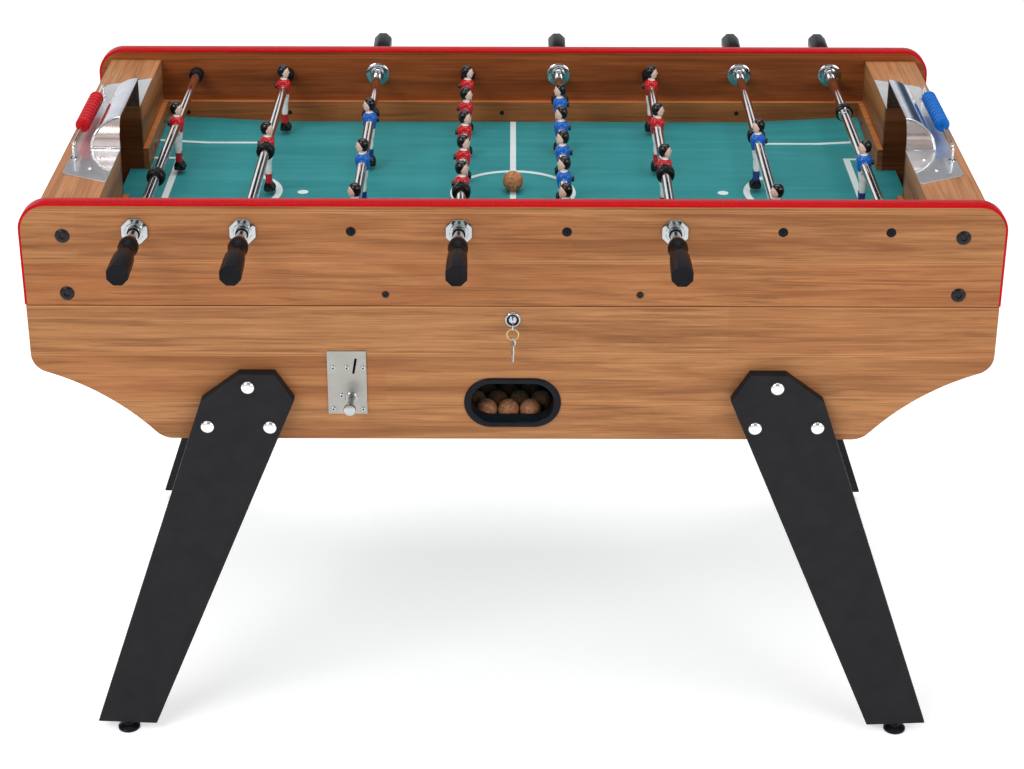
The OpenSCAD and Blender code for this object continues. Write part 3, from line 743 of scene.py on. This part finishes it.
# Face and hair: (height, reach to the front, reach to the back, half width)
FACE = [(16.6, 5.2, 1.5, 2.2), (17.6, 7.6, 3.8, 4.2), (19.6, 9.0, 6.0, 6.0), (23.0, 9.6, 7.0, 7.2)]
FACE += [(26.0, 9.8, 7.6, 8.0), (29.0, 9.6, 8.0, 8.2), (32.0, 9.0, 7.8, 7.8), (35.0, 7.4, 7.0, 6.6)]
FACE += [(37.2, 4.6, 5.0, 4.4), (38.2, 2.2, 2.6, 2.2)]
HAIR = [(18.6, -4.6, 6.6, 4.8), (20.5, -2.6, 8.4, 6.8), (24.0, 0.2, 9.8, 8.6), (28.0, 1.8, 10.4, 9.4)]
HAIR += [(32.0, 5.2, 10.2, 9.2), (35.4, 7.8, 9.0, 8.2), (38.2, 6.0, 6.4, 5.8), (39.4, 3.0, 3.2, 2.8)]
HAIR += [(39.8, 0.8, 0.9, 0.8)]
# Sleeve: (x, height, radius), and forearm: (x, y, height, radius)
SLEEVE = [(0, 11.0, 2.4), (0, 7, 3.0), (-0.3, 1, 3.0), (-0.2, -2.4, 2.9), (-0.2, -2.8, 2.2)]
FOREARM = [(-0.2, 12.0, -1.5, 2.1), (0.8, 12.0, -6, 2.2), (3.0, 11.6, -10, 2.1), (4.0, 11.2, -13.4, 2.3)]
FOREARM += [(4.2, 11.0, -15.4, 1.4)]
SHORTS = [(-10, 8.4, 8.8), (-14, 8.8, 9.4), (-24, 7.6, 9.4), (-30, 6.6, 9.2), (-31, 5.8, 8.6)]
# Leg and sock: (height, half width), and boot: (height, toe, heel)
LEG_WIDTHS = [(-28, 4.4), (-38, 4.2), (-46, 3.8), (-49.5, 3.7), (-50, 3.2)]
SOCK_WIDTHS = [(-48.4, 3.4), (-48.9, 4.3), (-50.4, 4.3), (-51.0, 4.0), (-57, 4.1), (-63, 3.8), (-67, 3.8)]
BOOT = [(-78.4, 9.6, 8.2), (-77.6, 10.6, 8.9), (-74.5, 10.8, 8.9), (-71, 9.8, 8.6), (-68, 6.6, 7.4)]
BOOT += [(-64.6, 4.8, 5.6), (-64.2, 4.0, 4.8)]


def man(form, at):
    """One player facing +X, the rod passing through the chest along Y."""
    skin, shirt, white, hair, sock = 0, 1, 2, 3, 4

    def stack(levels, x, y, n, p, paint):
        """Ovals one above the other, each (height, half depth, half width)."""
        form.rings([oval(x, y, z, rx, ry, n, p) for z, rx, ry in levels], paint, at)

    stack(TORSO, 0, 0, 24, 2.6, shirt)
    # White collar, neck, head and hair
    stack([(12.6, 6.4, 7.6), (14.6, 6.4, 7.2), (17.0, 5.2, 5.6), (17.2, 3.8, 4.2)], 0.5, 0, 20, 2.0, white)
    stack([(14, 4.4, 4.4), (18, 4.1, 4.1), (22, 4.4, 4.4)], 0.5, 0, 16, 2.0, skin)
    form.rings([half_oval(z, front, back, ry, 0.9, 1.0) for z, front, back, ry in FACE], skin, at)
    # Nose, brow and ears
    form.ball((9.8, 0, 26.2), (1.3, 1.1, 2.2), skin, at, 10, 8)
    for s in (-1, 1):
        form.ball((8.5, s * 3.0, 28.4), (1.0, 1.2, 0.8), hair, at, 8, 6)
        form.ball((0.5, s * 8.2, 26.0), (1.8, 0.9, 2.6), skin, at, 10, 8)
    form.rings([half_oval(z, front, back, ry, 1.0, 0.85) for z, front, back, ry in HAIR], hair, at)
    # Arms held to the sides
    for s in (-1, 1):
        sleeve = [oval(x, s * 11.8, z, r + 2.2, r, 14, 2.0) for x, z, r in SLEEVE]
        form.rings([[(0, s * 10.0, 13.2)]] + sleeve, shirt, at)
        form.rings([oval(x, s * y, z, r + 1.3, r, 12, 2.0) for x, y, z, r in FOREARM], skin, at)
    # Shorts, legs, socks and boots
    stack(SHORTS, 0, 0, 24, 2.8, white)
    for s in (-1, 1):
        stack([(z, r + 1.3, r) for z, r in LEG_WIDTHS], 0.2, s * 4.7, 16, 2.2, white)
        stack([(z, r + 1.2, r) for z, r in SOCK_WIDTHS], 0.2, s * 4.7, 16, 2.2, sock)
        rings = []
        for z, front, back in BOOT:
            ring = half_oval(z, front, back, 5.1 if z < -70 else 4.4, 0.8, 0.7, 20)
            rings.append([(px, py + s * 5.6, pz) for px, py, pz in ring])
        form.rings(rings, hair, at)
    # Clamp screw in the back
    back = at @ shift(-11.8, 0, 2) @ spin(-90, "Z")
    screw = [(0, 4.8), (-2.4, 4.8), (-3.8, 4.2), (-4.2, 2.8), (-4.2, 2.0), (-3.0, 1.6), (-3.0, 0)]
    form.lathe(screw, hair, back, 18)


def make_men(i, at):
    """The players of rod i."""
    form = Form()
    for y in men_at(MEN[i - 1]):
        man(form, at @ shift(0, y, 0))
    red = FRONT_HANDLE[i - 1]
    shirt, sock = ("shirt_red", "shirt_red") if red else ("shirt_blue", "sock_blue")
    mats = ["skin", shirt, "white", "hair", sock]
    slot = "red_team" if red else "blue_team"
    form.make(f"men_{i}", f"rod_{i}_sliding", mats, slot, [f"players_{i}"], angle=50)


# ---- bearings and sockets ----
# The flange is (along, size across, corner) and the rest are turned outlines. They count from the
# outer face of the wall, and the ring nut and the socket cup from its inner face.
FLANGE = [(0, 39.6, 1.2), (-3.0, 40.0, 1.0), (-4.0, 38.6, 1.0), (-4.0, 18.0, 0.6), (0, 18.0, 0.6)]
NOSE = [(-2, 8.1), (-2, 14.2), (-4.6, 14.2), (-5.4, 13.4), (-5.4, 10.6), (-10.8, 10.4)]
NOSE += [(-11.2, 10.0), (-11.2, ROD_HOLE)]
LINER = [(-9, ROD_HOLE), (-9, 9.9), (-11.2, 9.9), (-12, 9.5), (-12, ROD_HOLE)]
RING_NUT = [(-25, ROD_HOLE), (-25, 11.9), (0, 11.9), (0, 19.8), (0.6, 20.5), (1.6, 20.5), (2.8, 18.6)]
RING_NUT += [(3.0, 14.5), (3.4, 13.0), (4.0, 11.5), (8.0, 11.3), (9.0, 10.4), (9.0, ROD_HOLE)]
CUP = [(-20, 5.1), (-20, 9.6), (-18.8, 11.4), (-17, 12.2), (-12, 12.3), (-11, 11.6), (-10, 12.4)]
CUP += [(-1.6, 12.4), (0, 11.6), (0, 7.4), (26, 7.4), (26, 5.9), (26.9, 5.4), (27.5, 3.8)]
CUP += [(27.5, 0), (23.1, 0), (23.1, 5.1)]


def make_bearings():
    """Bearing and socket cup of each rod."""
    form, socket = Form(), Form()
    for i in range(1, 9):
        at = at_rod(i)
        outside = at @ shift(0, -OUTER_Y, 0)
        form.rings([octagon(*ring) for ring in FLANGE], 0, outside, loop=True)
        form.lathe(NOSE, 0, outside, 40, loop=True)
        form.lathe(LINER, 1, outside, 40, loop=True)
        form.lathe(RING_NUT, 0, at @ shift(0, -INNER_Y, 0), 40, loop=True)
        socket.lathe(CUP, 0, at @ shift(0, INNER_Y, 0), 36)
    form.make("bearing_chrome", "top_box", ["bearing", "black"], "chrome", ["rod_bearings"], angle=30)
    socket.make("socket_cups", "top_box", ["black"], "black_plastic", ["rod_sockets"], angle=40)


def head(form, at, r, h, skin, hole):
    """Low domed bolt head with a round recess, its base at the origin facing -Y. The floor of the recess is a
    near-black disc: painted shade.
    """
    dome = [(0, 1), (0.25, 1), (0.7, 0.88), (0.95, 0.68), (1, 0.5), (1, 0.42), (0.2, 0.38)]
    form.lathe([(0.6, r * 0.9)] + [(-h * a, r * b) for a, b in dome], skin, at, 28)
    form.lathe([(-h * 0.30, 0), (-h * 0.32, r * 0.40)], hole, at, 6)


def facing(x, y, z, way):
    """Frame at a point whose -Y looks along way."""
    turn = {"-Y": 0, "+Y": 180, "+X": 90, "-X": -90}
    return shift(x, y, z) @ (spin(-90, "X") if way == "+Z" else spin(turn[way], "Z"))


def make_top_screws():
    """Bolt heads on the side boards and small screws along the low rails."""
    form = Form()
    top = TRIM_HI.z - 2.5
    for s, way in ((-1, "-Y"), (1, "+Y")):
        for e in (-1, 1):
            for z in (top - 49, top - 142):
                head(form, facing(e * 672, s * OUTER_Y, z, way), 11, 3.0, 0, 1)
            head(form, facing(e * 192, s * OUTER_Y, top - 143, way), 5.5, 2.0, 0, 1)
    for turn in (1, -1):
        for x in (-582, -400, 20, 400, 582):
            y = -turn * (INNER_Y - 9)
            head(form, facing(turn * x, y, RAIL_HI.z - 20, "+Y" if turn > 0 else "-Y"), 4, 1.0, 0, 1)
    for e in (-1, 1):
        for s in (-1, 1):
            for y in (300, 180):
                spot = facing(e * (GOAL_LINE - 9), s * y, RAIL_HI.z - 20, "-X" if e > 0 else "+X")
                head(form, spot, 4, 1.0, 0, 1)
    form.make("top_bolt_heads", "top_box", ["bolt", "hole"], "black_bolt", ["top_screws"], angle=50)


# ---- goal hoods, wires and beads ----
def make_hoods():
    """Sheet hood over each goal: base plate, curved cover, one upright cheek and one folded in."""
    form = Form()
    z0, g, r = CAP_TOP, GOAL_LINE, 48
    zc = z0 + 2
    wire_x, wire_z = centre_xz("right_beads")

    def near(z):
        return -108 + 21.5 * (max(0.0, z - z0 - 13) / 37) ** 2.2

    for e in (-1, 1):
        side = Matrix.Diagonal((e, 1, 1, 1))
        outline = [(g, -106), (g, -250), (g + 1, -251.5), (g + 3, -252), (g + 69, -218)]
        outline += [(g + 72, -216), (g + 74, -210)]
        outline += [(px, -py) for px, py in reversed(outline)] + [(g + 46, 106), (g + 46, -106)]
        form.prism(outline, z0 + 0.02, z0 + 2, 0.35, 4, side, "Z", 1)
        # Curved cover, its near end cut to the folded cheek, with rolled rims
        shell, rim = [], []
        for c, s in quarter(40):
            x, z = g + r * c, zc + r * s
            y = near(z) + 1.0
            x_in, z_in = g + (r - 1.3) * c, zc + (r - 1.3) * s
            shell.append([(x, y, z), (x, 107.0, z), (x_in, 107.0, z_in), (x_in, y, z_in)])
            rim.append((g + (r - 2.1) * c, near(zc + (r - 2.1) * s) + 2.2, zc + (r - 2.1) * s))
        form.rings(shell, 0, side)
        form.tube(rim, 2.1, 1, side, 12)
        form.tube([(px, 105.8, pz) for px, py, pz in rim], 2.1, 1, side, 12)
        top = zc + r - 1.4
        form.tube([(g + 1.4, near(top) + 1.6, top), (g + 1.4, 106.6, top)], 1.4, 1, side)
        # Cheeks, set a little inside the rims
        levels = [zc - 1 + (r - 2.6) * k / 24 for k in range(25)]
        for y_at, dy in ((near, 1.0), (lambda z: 108, -1.0)):
            cheek = []
            for z in levels:
                x = g + math.sqrt(max(0.0, (r - 2.0) ** 2 - max(0.0, z - zc) ** 2))
                y = y_at(z) + 2.6 * dy
                cheek.append([(g + 0.4, y, z), (x, y, z), (x, y + 1.2 * dy, z), (g + 0.4, y + 1.2 * dy, z)])
            form.rings(cheek, 3, side)
        for s in (-1, 1):
            form.tube([(g + 1.5, s * 107.4, z0 + 3.4), (g + 46.5, s * 107.4, z0 + 3.4)], 1.6, 1, side, 10)
        # Bent score wire with its nuts
        ends, bend = (-148, 152), 8
        wire = side @ shift(wire_x, 0, 0)
        path = [(0, ends[0], z0 - 9), (0, ends[0], wire_z - bend - 1)]
        path += [(0, ends[0] + bend - bend * c, wire_z - bend + bend * s) for c, s in quarter(8)]
        path += [(0, ends[1] - bend + bend * s, wire_z - bend + bend * c) for c, s in quarter(8)]
        path += [(0, ends[1], wire_z - bend - 1), (0, ends[1], z0 - 9)]
        form.tube(path, 1.8, 1, wire, 14)
        for y in ends:
            foot = side @ facing(wire_x, y, z0 + 2, "+Z")
            form.lathe([(0, 1.8), (0, 5.6), (-0.8, 5.6), (-0.8, 1.8)], 1, foot, 24, loop=True)
            nut = [(-0.8, 1.8), (-0.8, 4.0), (-3.2, 4.0), (-3.6, 3.5), (-3.6, 1.8)]
            form.lathe(nut, 1, foot, 6, loop=True)
        for y in (-139.6, 141.2):
            stop = [(0, 1.8), (0, 2.9), (0.5, 3.4), (2.3, 3.4), (2.8, 2.9), (2.8, 1.8)]
            form.lathe(stop, 1, wire @ shift(0, y, wire_z), 16, loop=True)
        for x, y in ((23, 146), (35, 194)):
            for s in (-1, 1):
                head(form, side @ facing(g + x, s * y, z0 + 2, "+Z"), 4, 1.5, 1, 2)
    mats = ["hood", "chrome", "hole", "cheek", "plate"]
    form.make("hood_sheet", "top_box", mats, "sheet_steel", ["goal_hoods"], angle=32)


def make_beads():
    """Ten ribbed score beads on each wire."""
    for side, colour in (("left", "red"), ("right", "blue")):
        name = f"{side}_beads"
        lo, hi = box_mm(name)
        cx, cz = centre_xz(name)
        w = (hi.y - lo.y - 9 * 0.3) / 10
        form = Form()
        rim = [(0, 2.1), (0, 6.8), (0.6, 8.9), (1.6, 10.6), (3.2, 11.6), (5.6, 12.0)]
        profile = rim + [(w - a, b) for a, b in reversed(rim)]
        for k in range(10):
            form.lathe(profile, 0, shift(cx, lo.y + k * (w + 0.3), cz), 32, loop=True)
        form.make(f"{name}_ribbed", name, [f"bead_{colour}"], f"{colour}_plastic", [name], angle=40)


# ---- legs and feet ----
LEG = [(583.5, 14), (679, 18), (478, 605), (418.5, 650), (363.5, 650), (335, 605)]
LEG_BOLTS = [(405, 628), (470, 561), (374, 560)]
BOLT_HEAD = [(0, 0.5), (0, 11), (-1.2, 11), (-3.2, 9.6), (-4.4, 7.4), (-5.0, 4.8), (-5.0, 4.1)]
BOLT_HEAD += [(-4.3, 3.7), (-4.3, 0)]
BOLT_NUT = [(0, 5), (0, 10), (-0.8, 10), (-0.8, 8.5), (-2.6, 8.2), (-3, 7.0), (-3, 3)]
SHANK = [(-LEG_FACE, 0), (-LEG_FACE, 4.9), (-INNER_Y, 4.9), (-INNER_Y, 0)]
FOOT = [(0, 0), (0, 16.5), (-1.4, 18), (-4.4, 18), (-6.2, 16.4), (-8, 12), (-9.5, 8.5), (-10.2, 8.2)]
FOOT += [(-11, 8.2), (-14, 8.0), (-14, 5), (-60, 5), (-60, 0)]


def make_legs():
    """Leg boards with their bolts and levelling feet."""
    form, bolts, feet = Form(), Form(), Form()
    for e in (-1, 1):
        for s in (-1, 1):
            at = Matrix.Diagonal((e, s, 1, 1))
            form.prism(LEG, -LEG_FACE, -OUTER_Y, 1.6, 0, at, "Y", 3)
            # Two small screw holes, drawn as flat heads in the near-black recess colour: painted shade.
            for x, z in ((522, 312), (553, 220)):
                head(form, at @ facing(x, -LEG_FACE + 0.4, z, "-Y"), 2.6, 0.35, 1, 1)
            for x, z in LEG_BOLTS:
                bolts.lathe(BOLT_HEAD, 0, at @ facing(x, -LEG_FACE, z, "-Y"), 32)
                bolts.lathe(BOLT_NUT, 0, at @ facing(x, -INNER_Y, z, "+Y"), 12)
                bolts.lathe(SHANK, 0, at @ shift(x, 0, z), 16)
            feet.lathe(FOOT, 0, at @ facing(631, -LEG_FACE + 10, 0, "+Z"), 32)
    form.make("leg_boards", "base", ["leg", "hole"], "leg_paint", ["legs"], weighted=True)
    bolts.make("leg_bolt_heads", "base", ["chrome"], "chrome", ["leg_bolts"], angle=50)
    feet.make("levelling_pads", "base", ["black"], "black_plastic", ["levelling_feet"])


# ---- ball outlet and balls ----
# Outlet frame: (width, height, place counted from the outer face of the wall)
LIP = [(149, 83, 0), (149.6, 83.6, -1.0), (149.0, 83.0, -1.9), (146.6, 80.8, -2.8), (143, 77.4, -3.0)]
LIP += [(134, 70.0, -3.0), (130.5, 67.0, -2.7), (128.2, 65.0, -1.8), (127.2, 64.2, -0.6)]
LIP += [(127.2, 64.2, 26), (134, 71, 26), (134, 71, 0)]


def stadium(w, h, n=16):
    """Outline w wide and h tall, with half circles for ends."""
    r = h / 2
    out = []
    for start, mid in ((-90, w / 2 - r), (90, r - w / 2)):
        for k in range(n + 1):
            t = math.radians(start + 180 * k / n)
            out.append((mid + r * math.cos(t), r * math.sin(t)))
    return out


def make_outlet():
    """Frame of the ball outlet, the balls waiting in it and the ball in play."""
    cx, cz = centre_xz("outlet_frame")
    form = Form()
    rings = []
    for w, h, y in LIP:
        rings.append([(cx + px, y - OUTER_Y, cz + pz) for px, pz in stadium(w, h)])
    form.rings(rings, 0, loop=True)
    form.make("outlet_surround", "base", ["black"], "black_plastic", ["outlet_frame"], angle=42)
    form = Form()
    lo, hi = box_mm("stored_balls")
    gap = 34.3
    for row in range(3):
        count = 4 if row == 1 else 3
        for j in range(count):
            x = -6 + (j - (count - 1) / 2) * gap
            y = lo.y + BALL_R + row * gap * 0.88
            form.ball((x, y, lo.z + BALL_R), [BALL_R] * 3, row, None, 32, 20)
    # Rows further into the outlet get darker cork: painted shade inside the trough.
    mats = ["cork_front", "cork_mid_in_shade", "cork_back"]
    form.make("waiting_balls", "base", mats, "cork", ["stored_balls"], angle=80)
    form = Form()
    lo, hi = box_mm("field_ball")
    form.ball((lo + hi) / 2, [BALL_R] * 3, 0, None, 40, 24)
    form.make("ball_in_play", "field_ball", ["cork"], "cork", ["field_ball"], angle=80)


# ---- coin plate fittings, lock and keys ----
# Turned outlines, counted from the face of the coin plate, the end of the knob and the outer wall
BUTTON = [(0, 8.0), (0, 9.6), (-1.2, 9.6), (-1.9, 8.8), (-1.9, 5.1), (0, 5.1)]
KNOB = [(0, 0), (0, 7.2), (0.8, 8.8), (2.4, 9.5), (6.4, 9.5), (8.6, 8.6), (10, 6.4), (11, 5.0)]
LOCK = [(0, 9.4), (0, 12.5), (-1.0, 12.5), (-2.4, 11.6), (-3.0, 10.4), (-3.0, 9.6), (-1.2, 9.0)]
LOCK += [(-1.2, 6.1), (32, 6.1), (32, 9.4)]
# Gap between the lock ring and the plug, in the near-black recess colour: painted shade.
LOCK_GAP = [(-1.1, 6.15), (-1.1, 9.1), (-1.7, 9.2), (-1.7, 6.15)]
PLUG = [(-2.5, 0), (-2.5, 5.4), (-2.0, 5.98), (38, 5.98), (38, 0)]
# Blade of the spare key, counted from the middle of its ring
BLADE = [(-2.8, -18), (2.8, -18), (2.8, -46), (0.8, -47.8), (-1.2, -46), (-2.4, -43), (-1.2, -41)]
BLADE += [(-2.6, -38), (-1.4, -35), (-2.8, -31)]


def make_fittings():
    """Fittings of the coin plate, and the lock with its keys."""
    face = box_mm("coin_plate")[0].y + 2
    cx, cz = centre_xz("coin_plate")
    form = Form()
    for dx, dz in ((-21, 25), (0, 25), (25, 25), (-9, -22), (-22, -45), (24, -45)):
        head(form, facing(cx + dx, face - 0.9, cz + dz, "-Y"), 3.8, 1.1, 2, 1)
    form.lathe(BUTTON, 2, shift(cx + 6, face, cz - 26), 32, loop=True)
    form.make("coin_plate_screws", "base", ["zinc", "hole", "bearing"], "zinc", angle=40)
    lo, hi = box_mm("coin_knob")
    kx, kz = centre_xz("coin_knob")
    end = hi.y - lo.y
    form = Form()
    form.lathe(KNOB + [(end - 0.6, 5.0), (end, 4.4), (end, 0)], 0, shift(kx, lo.y, kz), 36)
    form.make("coin_knob_turned", "coin_knob", ["bearing"], "chrome", ["coin_knob"])
    lx, lz = centre_xz("lock_barrel")
    wall = shift(lx, -OUTER_Y, lz)
    form = Form()
    form.lathe(LOCK, 0, wall, 40, loop=True)
    form.lathe(LOCK_GAP, 1, wall, 40, loop=True)
    form.make("lock_ring", "base", ["bearing", "hole"], "zinc", ["lock_barrel"], angle=32)
    form = Form()
    form.lathe(PLUG, 0, wall, 32)
    form.block((lx - 34, 8 - INNER_Y, lz - 7), (lx + 2, 11 - INNER_Y, lz + 7), 0.8, 1)
    key_shape(form, lx, lz, -OUTER_Y)
    form.make("key_in_lock", "key", ["bearing", "zinc"], "zinc", ["key_and_plug"], angle=32)
    make_key_ring(lx, lz)


def make_key_ring(lx, lz):
    """Split ring through the key's bow, with the spare key hanging from it."""
    form = Form()
    lo, hi = box_mm("key_ring")
    yc = (lo.y + hi.y) / 2
    r = 8.8
    rz = lz - 5 - r
    path = []
    for j in range(41):
        t = 2 * math.pi * j / 40
        path.append((lx + r * math.cos(t), yc + 0.5 * math.sin(t * 0.5), rz + r * math.sin(t)))
    form.tube(path, 0.9, 0, None, 10)
    turned = shift(lx, yc, 0) @ spin(35, "Z") @ shift(-lx, -yc, 0)
    bow = [(yc + 7 * c, rz - r - 3 + 7 * s) for c, s in circle(24)]
    form.prism(bow, lx - 0.95, lx + 0.95, 0.3, 1, turned, "X", 1)
    form.prism([(yc + y, rz + z) for y, z in BLADE], lx - 0.9, lx + 0.9, 0.2, 1, turned, "X", 1)
    form.make("ring_and_spare_key", "key_ring", ["brass", "zinc"], "brass", ["key_ring"], angle=32)


def key_shape(form, lx, lz, o):
    """Flat key standing out of the plug, with a hole in its bow."""
    yc = o - 20
    rim = [[], [], [], []]
    for c, s in circle(32):
        hy, hz = yc - 5 + 2.5 * c, lz - 5 + 2.5 * s
        rim[0].append((lx - 0.9, yc + 9.9 * c, lz + 9.9 * s))
        rim[1].append((lx + 0.9, yc + 9.9 * c, lz + 9.9 * s))
        rim[2].append((lx + 0.9, hy, hz))
        rim[3].append((lx - 0.9, hy, hz))
    form.rings(rim, 0, loop=True)
    form.block((lx - 0.9, o - 12, lz - 3.8), (lx + 0.9, o - 2.4, lz + 3.8), 0.2, 0, None, 1)


def make_hinge_screws():
    """Countersunk screws of the hinge leaves at the back."""
    top, low = Form(), Form()
    rows = ((top, box_mm("hinge_top_leaves")[1].z - 10), (low, box_mm("hinge_base_leaves")[0].z + 10))
    for x in (-500, 0, 500):
        for dx in (-27, 0, 27):
            for form, z in rows:
                head(form, facing(x + dx, OUTER_Y + 2.0, z, "+Y"), 3.4, 0.8, 0, 1)
    top.make("hinge_screws_top", "top_box", ["zinc", "hole"], "zinc")
    low.make("hinge_screws_base", "base", ["zinc", "hole"], "zinc")


make_trims()
make_rods()
make_bearings()
make_top_screws()
make_hoods()
make_beads()
make_legs()
make_outlet()
make_fittings()
make_hinge_screws()


# ---- floor, light and camera ----
def make_stage():
    mesh = bpy.data.meshes.new("floor")
    mesh.from_pydata([(-30, -30, 0), (30, -30, 0), (30, 30, 0), (-30, 30, 0)], [], [(0, 1, 2, 3)])
    floor = bpy.data.objects.new("floor", mesh)
    bpy.context.scene.collection.objects.link(floor)
    mat, _, bsdf = shader("PaleFloor", (0.88, 0.88, 0.88), 0.8, specular_ior_level=0.0)
    bsdf.inputs["Emission Color"].default_value = (1, 1, 1, 1)
    bsdf.inputs["Emission Strength"].default_value = 0.45
    mesh.materials.append(mat)


def area_light(name, place, target, size, power, color=(1, 1, 1)):
    data = bpy.data.lights.new(name, "AREA")
    data.shape = "RECTANGLE"
    data.size, data.size_y = size
    data.energy = power
    data.color = color
    obj = bpy.data.objects.new(name, data)
    obj.location = place
    obj.rotation_euler = (Vector(target) - Vector(place)).to_track_quat("-Z", "Y").to_euler()
    bpy.context.scene.collection.objects.link(obj)


def make_light():
    """A sky to reflect and three soft lights."""
    world = bpy.data.worlds.new("Studio")
    bpy.context.scene.world = world
    world.use_nodes = True
    tree = world.node_tree
    x, y, z = parts_of(tree, coordinates(tree, "Generated"))
    bright, dark = (1.0, 1.0, 1.0), (0.05, 0.08, 0.14)
    # Height of the sky: bright near the horizon, a dark band, then a bright dome
    stops = [(0.0, 1.0), (0.312, 1.0), (0.322, 0.02), (0.50, 0.02), (0.56, 0.50), (1.0, 0.62)]
    sky = ramp(tree, z, [(at, (v, v, v)) for at, v in stops])
    # A dark curtain low down on the right
    curtain = ramp(tree, x, [(0.0, bright), (0.25, bright), (0.32, dark), (1.0, dark)])
    curtain = mix(tree, map_range(tree, z, 0.24, 0.30, 1.0, 0.0), bright, curtain)
    behind = mix(tree, map_range(tree, y, 0.55, 0.75, 0.0, 1.0), bright, curtain)
    sky = mix(tree, 1.0, sky, behind, "MULTIPLY")
    sky = mix(tree, 1.0, sky, (1.9, 1.9, 1.9), "MULTIPLY")
    tree.links.new(sky, tree.nodes["Background"].inputs["Color"])
    tree.nodes["Background"].inputs["Strength"].default_value = 0.50
    area_light("key", (-2.6, -3.4, 3.6), (0, 0, 0.7), (2.6, 2.0), 104)
    area_light("fill", (3.2, -3.0, 2.6), (0, 0, 0.7), (2.6, 2.0), 62)
    area_light("top", (0, 0.6, 4.2), (0, 0, 0.8), (3.0, 2.4), 74)
    bpy.context.scene.view_settings.view_transform = "Standard"


def make_camera():
    data = bpy.data.cameras.new("camera")
    data.lens = 80.8
    data.sensor_width = 36.0
    data.clip_end = 60.0
    camera = bpy.data.objects.new("camera", data)
    camera.location = (-0.0009, -3.569, 2.1597)
    camera.rotation_euler = (spin(90 - 25.76, "X") @ spin(0.136, "Z")).to_euler()
    bpy.context.scene.collection.objects.link(camera)
    bpy.context.scene.camera = camera


make_stage()
make_light()
make_camera()
